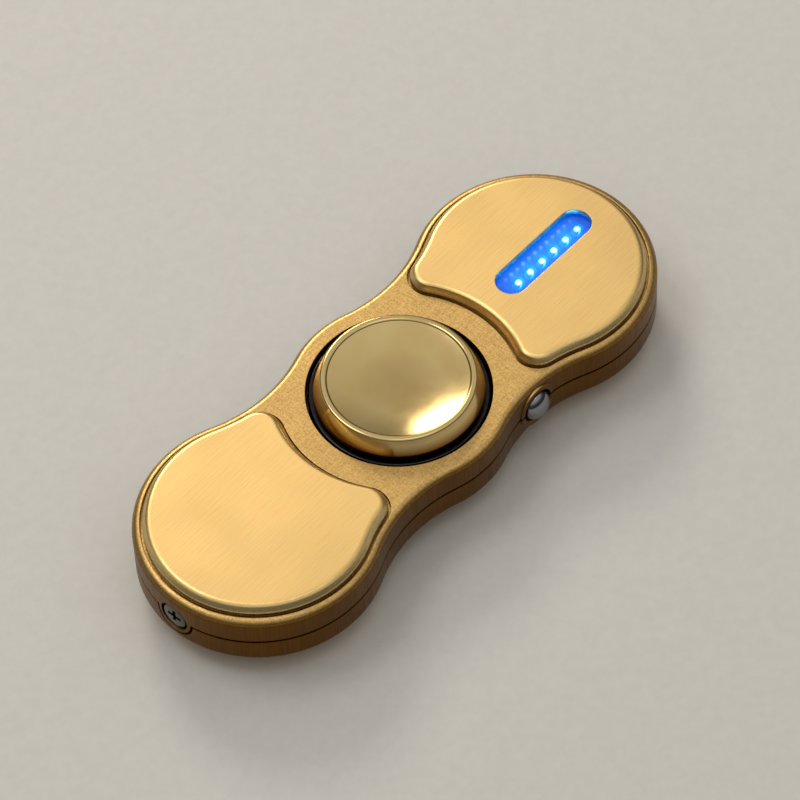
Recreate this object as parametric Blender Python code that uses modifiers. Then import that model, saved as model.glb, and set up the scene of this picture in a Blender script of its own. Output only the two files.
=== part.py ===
"""Light-up fidget spinner: a two-lobed metal body that turns on a ball bearing between two finger caps.

The bearing axis is Z and runs through the origin, which lies at half the body's thickness. +X points to
the lobe with the light window and -Y to the side with the push button. All lengths are in metres.
"""

import math

import bmesh
import bpy
from mathutils import Matrix, Vector

MM = 0.001

# Fits.
CLEARANCE = 0.3 * MM  # between two pieces that touch, seat or slide
SOLDER_GAP = 0.2 * MM  # between the board and a small part on it
SEAM_GAP = 0.3 * MM  # between the two shells, all the way round
OVERLAP = 0.3 * MM  # how far a rib or post sinks into the wall it grows from
PAST = 2.0 * MM  # how far a cutter runs past the face it opens

# Ball bearing.
BEARING_BORE_RADIUS = 4.0 * MM
BEARING_RADIUS = 11.0 * MM
BEARING_WIDTH = 7.0 * MM
BALL_RADIUS = 1.984 * MM
BALL_COUNT = 7
RACE_SHOULDER = 1.45 * MM  # each race's shoulder, measured from the pitch circle
SHIELD_THICKNESS = 0.3 * MM
SHIELD_RECESS = 0.7 * MM  # depth of a shield's seat from the bearing's face
SHIELD_SEAT_STEP = 0.6 * MM  # how much wider the shield's seat is than the outer race's shoulder
CAGE_WALL = 1.0 * MM
CAGE_RIM = 0.32 * MM  # cage left above and below each ball pocket

# Body.
LOBE_SPACING = 24.8 * MM  # from the bearing axis to the centre of either lobe
LOBE_RADIUS = 15.1 * MM
WAIST_DEPTH = 1.75 * MM  # how far the waist lies inside the round hub
BODY_THICKNESS = 7.6 * MM
EDGE_ROUND = 0.95 * MM
SHELL_WALL = 0.9 * MM
SHELL_ROOF = 1.2 * MM
SEAT_WALL = 0.6 * MM  # ring round the bearing
LEAD_CHANNEL = 1.0 * MM  # free width between that ring and the side wall

# Cover plates.
PLATE_MARGIN = 1.3 * MM  # ledge left outside a plate
HUB_LEDGE = 3.7 * MM  # ledge left between the bearing hole and a plate
PLATE_RISE = 1.25 * MM
PLATE_CHAMFER = 0.8 * MM
PLATE_CORNER = 2.8 * MM
POCKET_DEPTH = 0.6 * MM

# Light window.
WINDOW_LENGTH = 15.9 * MM
WINDOW_WIDTH = 4.1 * MM
WINDOW_OFFSET = 1.8 * MM  # outwards from the lobe's centre
LENS_RECESS = 0.9 * MM
LENS_FLANGE = 0.8 * MM
LENS_FLANGE_THICKNESS = 0.4 * MM

# Electronics.
BOARD_THICKNESS = 1.0 * MM
LED_COUNT = 6
LED_PITCH = 2.2 * MM
LED_SIZE = Vector((1.6, 0.8, 0.6)) * MM
LED_OFFSET = 0.8 * MM  # outwards from the window's centre
CHIP_SIZE = Vector((5.0, 5.0, 1.2)) * MM
CHIP_PLACE = Vector((1.4, -3.4)) * MM  # from the lobe's centre
MOTION_SWITCH_RADIUS = 1.1 * MM
MOTION_SWITCH_LENGTH = 5.0 * MM
MOTION_SWITCH_PLACE = Vector((1.4, 4.2)) * MM
POST_RADIUS = 1.2 * MM
POST_CIRCLE = 9.0 * MM  # the board's four posts, about the lobe's centre

# Push button and its switch.
BUTTON_X = 11.2 * MM
BUTTON_RADIUS = 2.0 * MM
BUTTON_RISE = 1.35 * MM
BUTTON_TRAVEL = 0.6 * MM
BUTTON_EARS = Vector((5.8, 0.6, 3.8)) * MM
COLLAR_WIDTH = 0.75 * MM
COLLAR_RISE = 0.3 * MM
SWITCH_SIZE = Vector((3.4, 1.8, 2.4)) * MM
PLUNGER_RADIUS = 0.5 * MM
PLUNGER_LENGTH = 1.2 * MM

# Battery.
CELL_RADIUS = 10.0 * MM
CELL_THICKNESS = 3.2 * MM
HOLDER_WALL = 1.0 * MM
CONTACT_THICKNESS = 0.3 * MM
CONTACT_WIDTH = 4.0 * MM
LEAD_RADIUS = 0.25 * MM
LEAD_SPREAD = 1.0 * MM  # between the two leads, one above the other beside the bearing
LEAD_END_RADIUS = 16.4 * MM  # distance of the leads' ends from the bearing axis
LEAD_END_ANGLE = math.radians(33)

# End screw.
SCREW_HEAD_RADIUS = 1.75 * MM
SCREW_HEAD_THICKNESS = 0.8 * MM
SCREW_SINK = 0.15 * MM
SCREW_RADIUS = 0.8 * MM
SCREW_SLOT = Vector((0.9, 2.3, 0.45)) * MM  # depth, length and width of each arm of the cross
TONGUE_RIM = 0.45 * MM  # metal left round the screw's counterbore
TONGUE_THICKNESS = 2.0 * MM
BOSS_THICKNESS = 2.0 * MM
TAB_THICKNESS = 1.0 * MM  # locating tab at the light end
TAB_WIDTH = 6.0 * MM

# Finger caps.
CAP_CREST_RADIUS = 8.95 * MM
CAP_CREST_WIDTH = 0.5 * MM
CAP_FLANGE_RADIUS = 10.4 * MM
CAP_HEIGHT = 2.5 * MM
CAP_STANDOFF = 0.5 * MM  # from the bearing's face to the underside of the flange
CAP_SHOULDER = 0.35 * MM  # rounding between the crest and the sloping flank
CAP_DISH_DEPTH = 1.1 * MM
CAP_SPACER_RADIUS = 5.4 * MM
STUD_RADIUS = 2.2 * MM

# Worked out from the sizes above.
HALF_THICKNESS = BODY_THICKNESS / 2
ROOF_UNDERSIDE = HALF_THICKNESS - SHELL_ROOF
POCKET_FLOOR = HALF_THICKNESS - POCKET_DEPTH
PLATE_TOP = HALF_THICKNESS + PLATE_RISE
PLATE_BOTTOM = POCKET_FLOOR + CLEARANCE
SEAT_RADIUS = BEARING_RADIUS + CLEARANCE
SEAT_OUTER_RADIUS = SEAT_RADIUS + SEAT_WALL
LEAD_CHANNEL_RADIUS = SEAT_OUTER_RADIUS + LEAD_CHANNEL / 2
HUB_RADIUS = SEAT_OUTER_RADIUS + LEAD_CHANNEL + SHELL_WALL
WAIST_HALF_WIDTH = HUB_RADIUS - WAIST_DEPTH
PLATE_INNER_RADIUS = SEAT_RADIUS + HUB_LEDGE
END_X = LOBE_SPACING + LOBE_RADIUS
PITCH_RADIUS = (BEARING_BORE_RADIUS + BEARING_RADIUS) / 2
GROOVE_RADIUS = BALL_RADIUS + CLEARANCE
BEARING_FACE = BEARING_WIDTH / 2
WINDOW_X = LOBE_SPACING + WINDOW_OFFSET
LENS_TOP = PLATE_TOP - LENS_RECESS
LENS_BOTTOM = PLATE_BOTTOM
LED_TOP = LENS_BOTTOM - CLEARANCE
BOARD_TOP = LED_TOP - LED_SIZE.z - SOLDER_GAP
BOARD_BOTTOM = BOARD_TOP - BOARD_THICKNESS
TAB_OUTER_X = LOBE_SPACING + math.sqrt((LOBE_RADIUS - SHELL_WALL) ** 2 - (TAB_WIDTH / 2) ** 2) - CLEARANCE
TAB_INNER_X = TAB_OUTER_X - TAB_THICKNESS
BOARD_MARGIN = END_X - TAB_INNER_X + CLEARANCE
BOARD_INNER_RADIUS = SEAT_OUTER_RADIUS + 4 * CLEARANCE
WALL_INNER_Y = WAIST_HALF_WIDTH - SHELL_WALL
EARS_OUTER_Y = WALL_INNER_Y - CLEARANCE
EARS_INNER_Y = EARS_OUTER_Y - BUTTON_EARS.y
SWITCH_FACE_Y = EARS_INNER_Y - BUTTON_TRAVEL - CLEARANCE
SWITCH_TOP = BOARD_BOTTOM - CLEARANCE
SWITCH_Z = SWITCH_TOP - SWITCH_SIZE.z / 2
HOLDER_RADIUS = CELL_RADIUS + CLEARANCE + HOLDER_WALL
CELL_X = -(SEAT_OUTER_RADIUS + CLEARANCE + HOLDER_RADIUS)
COUNTERBORE_RADIUS = SCREW_HEAD_RADIUS + CLEARANCE
TONGUE_RADIUS = COUNTERBORE_RADIUS + TONGUE_RIM
CAP_BOTTOM = BEARING_FACE + CAP_STANDOFF
CAP_TOP = CAP_BOTTOM + CAP_HEIGHT

BRASS = ("brushed_brass", (0.62, 0.42, 0.17), 0.38, 1.0)
POLISHED_BRASS = ("polished_brass", (0.70, 0.52, 0.24), 0.12, 1.0)
STEEL = ("bearing_steel", (0.56, 0.57, 0.58), 0.2, 1.0)
CHROME = ("chrome", (0.75, 0.76, 0.78), 0.08, 1.0)
NICKEL = ("nickel", (0.62, 0.60, 0.56), 0.25, 1.0)
COPPER_ALLOY = ("contact_spring", (0.72, 0.62, 0.45), 0.3, 1.0)
BLUE_LENS = ("blue_lens", (0.01, 0.20, 0.85), 0.1, 0.0)
BOARD_GREEN = ("circuit_board", (0.02, 0.12, 0.05), 0.5, 0.0)
LED_WHITE = ("led_body", (0.75, 0.85, 0.95), 0.3, 0.0)
BLACK_PLASTIC = ("black_plastic", (0.02, 0.02, 0.022), 0.5, 0.0)
RED_PLASTIC = ("red_insulation", (0.45, 0.02, 0.02), 0.5, 0.0)


def clear_scene():
    """Removes everything that the file holds."""
    for item in list(bpy.data.objects):
        bpy.data.objects.remove(item)


def new_collection(name, hidden=False):
    collection = bpy.data.collections.new(name)
    collection.hide_render = hidden
    bpy.context.scene.collection.children.link(collection)
    return collection


def material_for(finish):
    """The Principled material of a finish, made once for each name."""
    name, colour, roughness, metallic = finish
    found = bpy.data.materials.get(name)
    if found:
        return found
    made = bpy.data.materials.new(name)
    made.use_nodes = True
    shader = made.node_tree.nodes["Principled BSDF"]
    shader.inputs["Base Color"].default_value = (*colour, 1.0)
    shader.inputs["Roughness"].default_value = roughness
    shader.inputs["Metallic"].default_value = metallic
    made.diffuse_color = (*colour, 1.0)
    return made


def add_part(name, mesh, finish, location=(0, 0, 0)):
    """A visible piece of the spinner."""
    piece = bpy.data.objects.new(name, mesh)
    piece.location = location
    mesh.materials.clear()
    mesh.materials.append(material_for(finish))
    mesh.shade_smooth()
    mesh.set_sharp_from_angle(angle=math.radians(35))
    PARTS.objects.link(piece)
    return piece


def add_cutter(name, mesh, location=(0, 0, 0)):
    """A helper solid that only shapes other pieces."""
    cutter = bpy.data.objects.new(name, mesh)
    cutter.location = location
    cutter.hide_render = True
    cutter.display_type = "WIRE"
    CUTTERS.objects.link(cutter)
    return cutter


def boolean(piece, other, operation):
    modifier = piece.modifiers.new(operation.lower() + "_" + other.name, "BOOLEAN")
    modifier.operation = operation
    modifier.solver = "EXACT"
    modifier.object = other


def cut(piece, *cutters):
    for cutter in cutters:
        boolean(piece, cutter, "DIFFERENCE")


def join(piece, *helpers):
    for helper in helpers:
        boolean(piece, helper, "UNION")


def finish_mesh(form, name):
    mesh = bpy.data.meshes.new(name)
    form.to_mesh(mesh)
    form.free()
    return mesh


def box_mesh(name, low, high):
    """Block between two opposite corners."""
    form = bmesh.new()
    bmesh.ops.create_cube(form, size=1.0)
    size = Vector(high) - Vector(low)
    middle = (Vector(high) + Vector(low)) / 2
    bmesh.ops.scale(form, vec=size, verts=form.verts)
    bmesh.ops.translate(form, vec=middle, verts=form.verts)
    return finish_mesh(form, name)


def cylinder_mesh(name, radius, low, high, axis="Z", segments=32):
    """Round bar along one axis, from low to high on that axis."""
    form = bmesh.new()
    bmesh.ops.create_cone(
        form, cap_ends=True, segments=segments, radius1=radius, radius2=radius, depth=high - low
    )
    bmesh.ops.translate(form, vec=(0, 0, (low + high) / 2), verts=form.verts)
    turn = {
        "X": Matrix.Rotation(math.pi / 2, 3, "Y"),
        "Y": Matrix.Rotation(-math.pi / 2, 3, "X"),
        "Z": Matrix.Identity(3),
    }[axis]
    bmesh.ops.rotate(form, matrix=turn, verts=form.verts)
    return finish_mesh(form, name)


def outline_mesh(name, outlines, low, high):
    """Flat outline, or an outline with holes in it, extruded from z = low to z = high."""
    curve = bpy.data.curves.new(name, "CURVE")
    curve.dimensions = "2D"
    curve.fill_mode = "BOTH"
    curve.extrude = (high - low) / 2
    for outline in outlines:
        spline = curve.splines.new("POLY")
        spline.points.add(len(outline) - 1)
        for point, (x, y) in zip(spline.points, outline):
            point.co = (x, y, 0, 1)
        spline.use_cyclic_u = True
    guide = bpy.data.objects.new(name, curve)
    guide.location.z = (low + high) / 2
    bpy.context.scene.collection.objects.link(guide)
    bpy.context.view_layer.update()
    graph = bpy.context.evaluated_depsgraph_get()
    mesh = bpy.data.meshes.new_from_object(guide.evaluated_get(graph))
    mesh.transform(guide.matrix_world)
    bpy.data.objects.remove(guide)
    bpy.data.curves.remove(curve)
    form = bmesh.new()
    form.from_mesh(mesh)
    bmesh.ops.remove_doubles(form, verts=form.verts, dist=0.001 * MM)
    bmesh.ops.recalc_face_normals(form, faces=form.faces)
    form.to_mesh(mesh)
    form.free()
    return mesh


def bevel_rim(mesh, height, width, segments):
    """Bevels the edges of the flat face that lies at the given height."""
    form = bmesh.new()
    form.from_mesh(mesh)
    flat = [
        edge
        for edge in form.edges
        if all(abs(vertex.co.z - height) < 0.01 * MM for vertex in edge.verts)
    ]
    rim = [edge for edge in flat if any(abs(face.normal.z) < 0.5 for face in edge.link_faces)]
    inside = [edge for edge in flat if edge not in rim]
    bmesh.ops.dissolve_edges(form, edges=inside, use_verts=False, use_face_split=False)
    bmesh.ops.bevel(
        form, geom=rim, offset=width, segments=segments, profile=0.5, affect="EDGES", clamp_overlap=True
    )
    form.to_mesh(mesh)
    form.free()


def turned_part(name, profile, closed, finish, steps=36, location=(0, 0, 0)):
    """Solid of revolution about Z. The (radius, z) profile runs down the outer side."""
    form = bmesh.new()
    points = [form.verts.new((radius, 0, z)) for radius, z in profile]
    pairs = list(zip(points, points[1:]))
    if closed:
        pairs.append((points[-1], points[0]))
    for first, second in pairs:
        form.edges.new((first, second))
    piece = add_part(name, finish_mesh(form, name), finish, location)
    screw = piece.modifiers.new("turn", "SCREW")
    screw.axis = "Z"
    screw.angle = math.tau
    screw.steps = steps
    screw.render_steps = steps
    screw.use_merge_vertices = True
    screw.merge_threshold = 0.00001
    screw.use_smooth_shade = True
    return piece


def arc(centre, radius, start, end, segments):
    """Points on an arc about centre, from one angle to another, both ends included."""
    steps = [start + (end - start) * i / segments for i in range(segments + 1)]
    return [(centre[0] + radius * math.cos(a), centre[1] + radius * math.sin(a)) for a in steps]


def joined(*runs):
    """One outline from runs of points that meet, with each shared point kept once."""
    points = []
    for run in runs:
        for point in run:
            if not points or math.dist(points[-1], point) > 0.001 * MM:
                points.append(point)
    if math.dist(points[0], points[-1]) < 0.001 * MM:
        points.pop()
    return points


def direction(start, end):
    """Angle of the line from one point to another."""
    return math.atan2(end[1] - start[1], end[0] - start[0])


def waist_circle():
    """Centre and radius of the hollow arc that touches the hub circle and the lobe circle."""
    lobe_step = LOBE_RADIUS - WAIST_HALF_WIDTH
    ratio = lobe_step / WAIST_DEPTH
    constant = LOBE_SPACING**2 - lobe_step * (LOBE_RADIUS - HUB_RADIUS)
    x = constant / (LOBE_SPACING + math.sqrt(LOBE_SPACING**2 - (1 - ratio) * constant))
    radius = x**2 / (2 * WAIST_DEPTH) - (HUB_RADIUS + WAIST_HALF_WIDTH) / 2
    return (x, WAIST_HALF_WIDTH + radius), radius


def body_outline(inset):
    """The whole body's outline, moved inwards by inset."""
    centre, radius = waist_circle()
    lobe = (LOBE_SPACING, 0)
    hub = (0, 0)
    quarter = joined(
        arc(lobe, LOBE_RADIUS - inset, 0, math.pi / 2, 9),
        arc(lobe, LOBE_RADIUS - inset, math.pi / 2, direction(lobe, centre), 2),
        arc(centre, radius + inset, direction(centre, lobe), direction(centre, hub), 6),
        arc(hub, HUB_RADIUS - inset, direction(hub, centre), math.pi / 2, 2),
    )
    mirrored = [(-x, y) for x, y in reversed(quarter)]
    half = joined(quarter, mirrored)
    return joined(half, [(-x, -y) for x, y in half])


def lobe_outline(inset, inner_radius, corner):
    """One lobe of the body outline, moved inwards and cut off by a circle about the bearing axis."""
    centre, radius = waist_circle()
    lobe = (LOBE_SPACING, 0)
    hub = (0, 0)
    waist = radius + inset
    reach = math.dist(hub, centre)
    along = ((inner_radius + corner) ** 2 - (waist + corner) ** 2 + reach**2) / (2 * reach)
    across = math.sqrt((inner_radius + corner) ** 2 - along**2)
    unit = Vector(centre) / reach
    turn = unit * along + Vector((unit.y, -unit.x)) * across
    to_waist = direction(turn, centre)
    to_hub = direction(turn, hub) % math.tau
    half = joined(
        arc(lobe, LOBE_RADIUS - inset, 0, direction(lobe, centre), 11),
        arc(centre, waist, direction(centre, lobe), direction(centre, turn), 2),
        arc(turn, corner, to_waist, to_hub, 4),
        arc(hub, inner_radius, direction(hub, turn), 0, 4),
    )
    mirrored = [(x, -y) for x, y in reversed(half)]
    return joined(half, mirrored)


def stadium(centre_x, length, width, segments=8):
    """Slot outline with round ends, lying along X."""
    reach = (length - width) / 2
    right = arc((centre_x + reach, 0), width / 2, -math.pi / 2, math.pi / 2, segments)
    left = arc((centre_x - reach, 0), width / 2, math.pi / 2, 3 * math.pi / 2, segments)
    return joined(right, left)


def circle(radius, segments=40):
    return arc((0, 0), radius, 0, math.tau * (segments - 1) / segments, segments - 1)


def facing(outline, side):
    """The outline itself on the light side, or the same outline turned to the battery side."""
    return [(side * x, side * y) for x, y in outline]


def span(first, second):
    """The two heights in rising order."""
    return min(first, second), max(first, second)


def shell_blank(name, side):
    """Solid half of the body that runs past the seam, with its outer edge rounded."""
    low, high = span(-side * (TONGUE_RADIUS + PAST), side * HALF_THICKNESS)
    mesh = outline_mesh(name, [body_outline(0)], low, high)
    bevel_rim(mesh, side * HALF_THICKNESS, EDGE_ROUND, 2)
    return add_part(name, mesh, BRASS)


def shell_common_cutters(side, tag):
    """Cavity, bearing hole and plate pockets of one shell."""
    low, high = span(-side * (TONGUE_RADIUS + 2 * PAST), side * ROOF_UNDERSIDE)
    room = outline_mesh("cavity_" + tag, [body_outline(SHELL_WALL), circle(SEAT_OUTER_RADIUS)], low, high)
    bore = cylinder_mesh("bore_" + tag, SEAT_RADIUS, -HALF_THICKNESS - PAST, HALF_THICKNESS + PAST, segments=48)
    cutters = [add_cutter(room.name, room), add_cutter(bore.name, bore)]
    pocket = lobe_outline(
        PLATE_MARGIN - CLEARANCE, PLATE_INNER_RADIUS - CLEARANCE, PLATE_CORNER + CLEARANCE
    )
    low, high = span(side * POCKET_FLOOR, side * (HALF_THICKNESS + PAST))
    for end, direction_x in (("light", 1), ("plain", -1)):
        mesh = outline_mesh(f"pocket_{end}_{tag}", [facing(pocket, direction_x)], low, high)
        cutters.append(add_cutter(mesh.name, mesh))
    return cutters


def button_hole():
    """Round hole through both side walls for the button."""
    mesh = cylinder_mesh(
        "button_hole",
        BUTTON_RADIUS + CLEARANCE,
        -WAIST_HALF_WIDTH - COLLAR_RISE - PAST,
        -WALL_INNER_Y + PAST,
        axis="Y",
    )
    return add_cutter(mesh.name, mesh, (BUTTON_X, 0, 0))


def button_collar():
    """Low ring that stands out round the button, shared by both shells."""
    radius = BUTTON_RADIUS + CLEARANCE + COLLAR_WIDTH
    mesh = cylinder_mesh(
        "button_collar", radius, -WAIST_HALF_WIDTH - COLLAR_RISE, -WAIST_HALF_WIDTH + SHELL_WALL / 2, axis="Y"
    )
    return add_cutter(mesh.name, mesh, (BUTTON_X, 0, 0))


def seam_block(side, tag):
    """Everything beyond the seam, seen from one shell."""
    low, high = span(side * SEAM_GAP / 2, -side * 3 * HALF_THICKNESS)
    reach = END_X + PAST
    mesh = box_mesh("seam_" + tag, (-reach, -reach, low), (reach, reach, high))
    return add_cutter(mesh.name, mesh)


def build_upper_shell():
    shell = shell_blank("upper_shell", 1)
    join(shell, button_collar())
    cut(shell, *shell_common_cutters(1, "upper"), button_hole())
    root_x = -END_X + SHELL_WALL / 2
    inner_x = -END_X + TONGUE_THICKNESS
    back = box_mesh(
        "tongue_back",
        (root_x, -TONGUE_RADIUS - OVERLAP, -TONGUE_RADIUS - OVERLAP),
        (inner_x, TONGUE_RADIUS + OVERLAP, ROOF_UNDERSIDE + OVERLAP),
    )
    join(shell, add_cutter(back.name, back))
    seam = seam_block(1, "upper")
    tongue = cylinder_mesh("tongue_keep", TONGUE_RADIUS, -END_X - 2 * PAST, inner_x + PAST, axis="X")
    cut(seam, add_cutter(tongue.name, tongue))
    cut(shell, seam)

    tab = box_mesh(
        "locating_tab",
        (TAB_INNER_X, -TAB_WIDTH / 2, -TONGUE_RADIUS / 2),
        (TAB_OUTER_X, TAB_WIDTH / 2, ROOF_UNDERSIDE + OVERLAP),
    )
    join(shell, add_cutter(tab.name, tab))

    bore_end = -END_X + SCREW_SINK + SCREW_HEAD_THICKNESS + CLEARANCE
    bore = cylinder_mesh("counterbore", COUNTERBORE_RADIUS, -END_X - PAST, bore_end, axis="X")
    hole = cylinder_mesh("screw_hole", SCREW_RADIUS + CLEARANCE, -END_X - PAST, inner_x + PAST, axis="X")
    opening = outline_mesh(
        "light_opening", [stadium(WINDOW_X, WINDOW_LENGTH, WINDOW_WIDTH)], 0, HALF_THICKNESS + PAST
    )
    cut(shell, *(add_cutter(mesh.name, mesh) for mesh in (bore, hole, opening)))
    return shell


def build_lower_shell():
    shell = shell_blank("lower_shell", -1)
    join(shell, bpy.data.objects["button_collar"])
    cut(shell, *shell_common_cutters(-1, "lower"), bpy.data.objects["button_hole"])
    cut(shell, seam_block(-1, "lower"))
    notch = cylinder_mesh(
        "tongue_notch",
        TONGUE_RADIUS + CLEARANCE,
        -END_X - PAST,
        -END_X + TONGUE_THICKNESS + CLEARANCE,
        axis="X",
    )
    cut(shell, add_cutter(notch.name, notch))

    floor = -ROOF_UNDERSIDE - OVERLAP
    boss_x = -END_X + TONGUE_THICKNESS + 2 * CLEARANCE
    boss = box_mesh(
        "screw_boss",
        (boss_x, -TONGUE_RADIUS, floor),
        (boss_x + BOSS_THICKNESS, TONGUE_RADIUS, TONGUE_RADIUS / 2),
    )
    join(shell, add_cutter(boss.name, boss))
    for index in range(4):
        angle = math.radians(45 + 90 * index)
        post = cylinder_mesh(f"board_post_{index}", POST_RADIUS, floor, BOARD_BOTTOM - CLEARANCE, segments=16)
        place = (LOBE_SPACING + POST_CIRCLE * math.cos(angle), POST_CIRCLE * math.sin(angle), 0)
        join(shell, add_cutter(post.name, post, place))
    hole = cylinder_mesh(
        "boss_hole", SCREW_RADIUS + CLEARANCE, boss_x - PAST, boss_x + BOSS_THICKNESS + PAST, axis="X"
    )
    cut(shell, add_cutter(hole.name, hole))
    return shell


def cover_plate(name, direction_x, side):
    """Raised plate that fills one pocket, with its outer edge chamfered."""
    low, high = span(side * PLATE_BOTTOM, side * PLATE_TOP)
    outline = lobe_outline(PLATE_MARGIN, PLATE_INNER_RADIUS, PLATE_CORNER)
    mesh = outline_mesh(name, [facing(outline, direction_x)], low, high)
    bevel_rim(mesh, side * PLATE_TOP, PLATE_CHAMFER, 1)
    return add_part(name, mesh, BRASS)


def build_cover_plates():
    plate = cover_plate("led_cover_plate", 1, 1)
    slot = outline_mesh(
        "window_slot", [stadium(WINDOW_X, WINDOW_LENGTH, WINDOW_WIDTH)], 0, PLATE_TOP + PAST
    )
    flange_room = 2 * LENS_FLANGE
    rebate = outline_mesh(
        "lens_rebate",
        [stadium(WINDOW_X, WINDOW_LENGTH + flange_room, WINDOW_WIDTH + flange_room)],
        0,
        LENS_BOTTOM + LENS_FLANGE_THICKNESS + CLEARANCE,
    )
    cut(plate, *(add_cutter(mesh.name, mesh) for mesh in (slot, rebate)))
    cover_plate("plain_cover_plate", -1, 1)
    cover_plate("led_underside_plate", 1, -1)
    cover_plate("battery_underside_plate", -1, -1)


def build_lens():
    length = WINDOW_LENGTH - 2 * CLEARANCE
    width = WINDOW_WIDTH - 2 * CLEARANCE
    grow = 2 * LENS_FLANGE
    middle = LENS_BOTTOM + LENS_FLANGE_THICKNESS / 2
    body = outline_mesh("window_lens", [stadium(WINDOW_X, length, width)], middle, LENS_TOP)
    flange = outline_mesh(
        "lens_flange",
        [stadium(WINDOW_X, length + grow, width + grow)],
        LENS_BOTTOM,
        LENS_BOTTOM + LENS_FLANGE_THICKNESS,
    )
    lens = add_part("window_lens", body, BLUE_LENS)
    join(lens, add_cutter(flange.name, flange))


def build_board():
    outline = lobe_outline(BOARD_MARGIN, BOARD_INNER_RADIUS, 3 * CLEARANCE)
    mesh = outline_mesh("circuit_board", [outline], BOARD_BOTTOM, BOARD_TOP)
    board = add_part("circuit_board", mesh, BOARD_GREEN)
    half_ears = BUTTON_EARS.x / 2 + CLEARANCE
    notch = box_mesh(
        "board_notch",
        (BUTTON_X - half_ears, -LOBE_RADIUS, BOARD_BOTTOM - PAST),
        (BUTTON_X + half_ears, -SWITCH_FACE_Y, BOARD_TOP + PAST),
    )
    cut(board, add_cutter(notch.name, notch))

    first = WINDOW_X + LED_OFFSET - LED_PITCH * (LED_COUNT - 1) / 2
    half = LED_SIZE / 2
    for index in range(LED_COUNT):
        x = first + LED_PITCH * index
        name = f"display_led_{index + 1}"
        low = (x - half.x, -half.y, LED_TOP - LED_SIZE.z)
        add_part(name, box_mesh(name, low, (x + half.x, half.y, LED_TOP)), LED_WHITE)

    under = BOARD_BOTTOM - SOLDER_GAP
    chip = Vector((LOBE_SPACING + CHIP_PLACE.x, CHIP_PLACE.y, 0))
    low = (chip.x - CHIP_SIZE.x / 2, chip.y - CHIP_SIZE.y / 2, under - CHIP_SIZE.z)
    high = (chip.x + CHIP_SIZE.x / 2, chip.y + CHIP_SIZE.y / 2, under)
    add_part("controller_chip", box_mesh("controller_chip", low, high), BLACK_PLASTIC)

    half_length = MOTION_SWITCH_LENGTH / 2
    can = cylinder_mesh("motion_switch", MOTION_SWITCH_RADIUS, -half_length, half_length, "X", 16)
    place = (LOBE_SPACING + MOTION_SWITCH_PLACE.x, MOTION_SWITCH_PLACE.y, under - MOTION_SWITCH_RADIUS)
    add_part("motion_switch", can, NICKEL, place)


def build_button():
    """Domed push button with two ears that keep it in the wall, and the switch that it presses."""
    outer = -WAIST_HALF_WIDTH - BUTTON_RISE
    shaft_end = -WAIST_HALF_WIDTH - COLLAR_RISE
    dome_height = shaft_end - outer
    dome_radius = (BUTTON_RADIUS**2 + dome_height**2) / (2 * dome_height)
    half_angle = math.asin(BUTTON_RADIUS / dome_radius)
    dome = arc((0, -outer - dome_radius), dome_radius, math.pi / 2, math.pi / 2 - half_angle, 4)
    dome[0] = (0, -outer)
    profile = [*dome, (BUTTON_RADIUS, EARS_OUTER_Y - BUTTON_EARS.y / 2), (0, EARS_OUTER_Y - BUTTON_EARS.y / 2)]
    button = turned_part("power_button", profile, False, CHROME, steps=24)
    button.location = (BUTTON_X, 0, 0)
    button.rotation_euler = (math.pi / 2, 0, 0)
    half = BUTTON_EARS / 2
    ears = box_mesh(
        "button_ears",
        (BUTTON_X - half.x, -EARS_OUTER_Y, -half.z),
        (BUTTON_X + half.x, -EARS_INNER_Y, half.z),
    )
    join(button, add_cutter(ears.name, ears))

    half = SWITCH_SIZE / 2
    body = box_mesh(
        "tactile_switch",
        (BUTTON_X - half.x, -SWITCH_FACE_Y, SWITCH_Z - half.z),
        (BUTTON_X + half.x, -SWITCH_FACE_Y + SWITCH_SIZE.y, SWITCH_TOP),
    )
    switch = add_part("tactile_switch", body, BLACK_PLASTIC)
    plunger_outer = -EARS_INNER_Y + CLEARANCE
    plunger_inner = plunger_outer + PLUNGER_LENGTH
    hole = cylinder_mesh(
        "plunger_hole",
        PLUNGER_RADIUS + CLEARANCE,
        -SWITCH_FACE_Y - PAST,
        plunger_inner + BUTTON_TRAVEL + CLEARANCE,
        "Y",
        16,
    )
    cut(switch, add_cutter(hole.name, hole, (BUTTON_X, 0, SWITCH_Z)))
    plunger = cylinder_mesh("switch_plunger", PLUNGER_RADIUS, plunger_outer, plunger_inner, "Y", 16)
    add_part("switch_plunger", plunger, BLACK_PLASTIC, (BUTTON_X, 0, SWITCH_Z))


def lead_route(height, battery_end, board_end):
    """Points along a lead, from the battery contact past the bearing to the board."""
    points = []
    steps = 22
    for index in range(steps + 1):
        angle = math.pi - LEAD_END_ANGLE - (math.pi - 2 * LEAD_END_ANGLE) * index / steps
        spread = (abs(math.cos(angle)) / math.cos(LEAD_END_ANGLE)) ** 6
        radius = LEAD_CHANNEL_RADIUS + (LEAD_END_RADIUS - LEAD_CHANNEL_RADIUS) * spread
        end = battery_end if math.cos(angle) < 0 else board_end
        points.append((radius * math.cos(angle), radius * math.sin(angle), height + (end - height) * spread))
    return points


def build_lead(name, finish, route):
    curve = bpy.data.curves.new(name, "CURVE")
    curve.dimensions = "3D"
    curve.bevel_depth = LEAD_RADIUS
    curve.bevel_resolution = 2
    curve.use_fill_caps = True
    spline = curve.splines.new("POLY")
    spline.points.add(len(route) - 1)
    for point, place in zip(spline.points, route):
        point.co = (*place, 1)
    lead = bpy.data.objects.new(name, curve)
    curve.materials.append(material_for(finish))
    PARTS.objects.link(lead)


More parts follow.
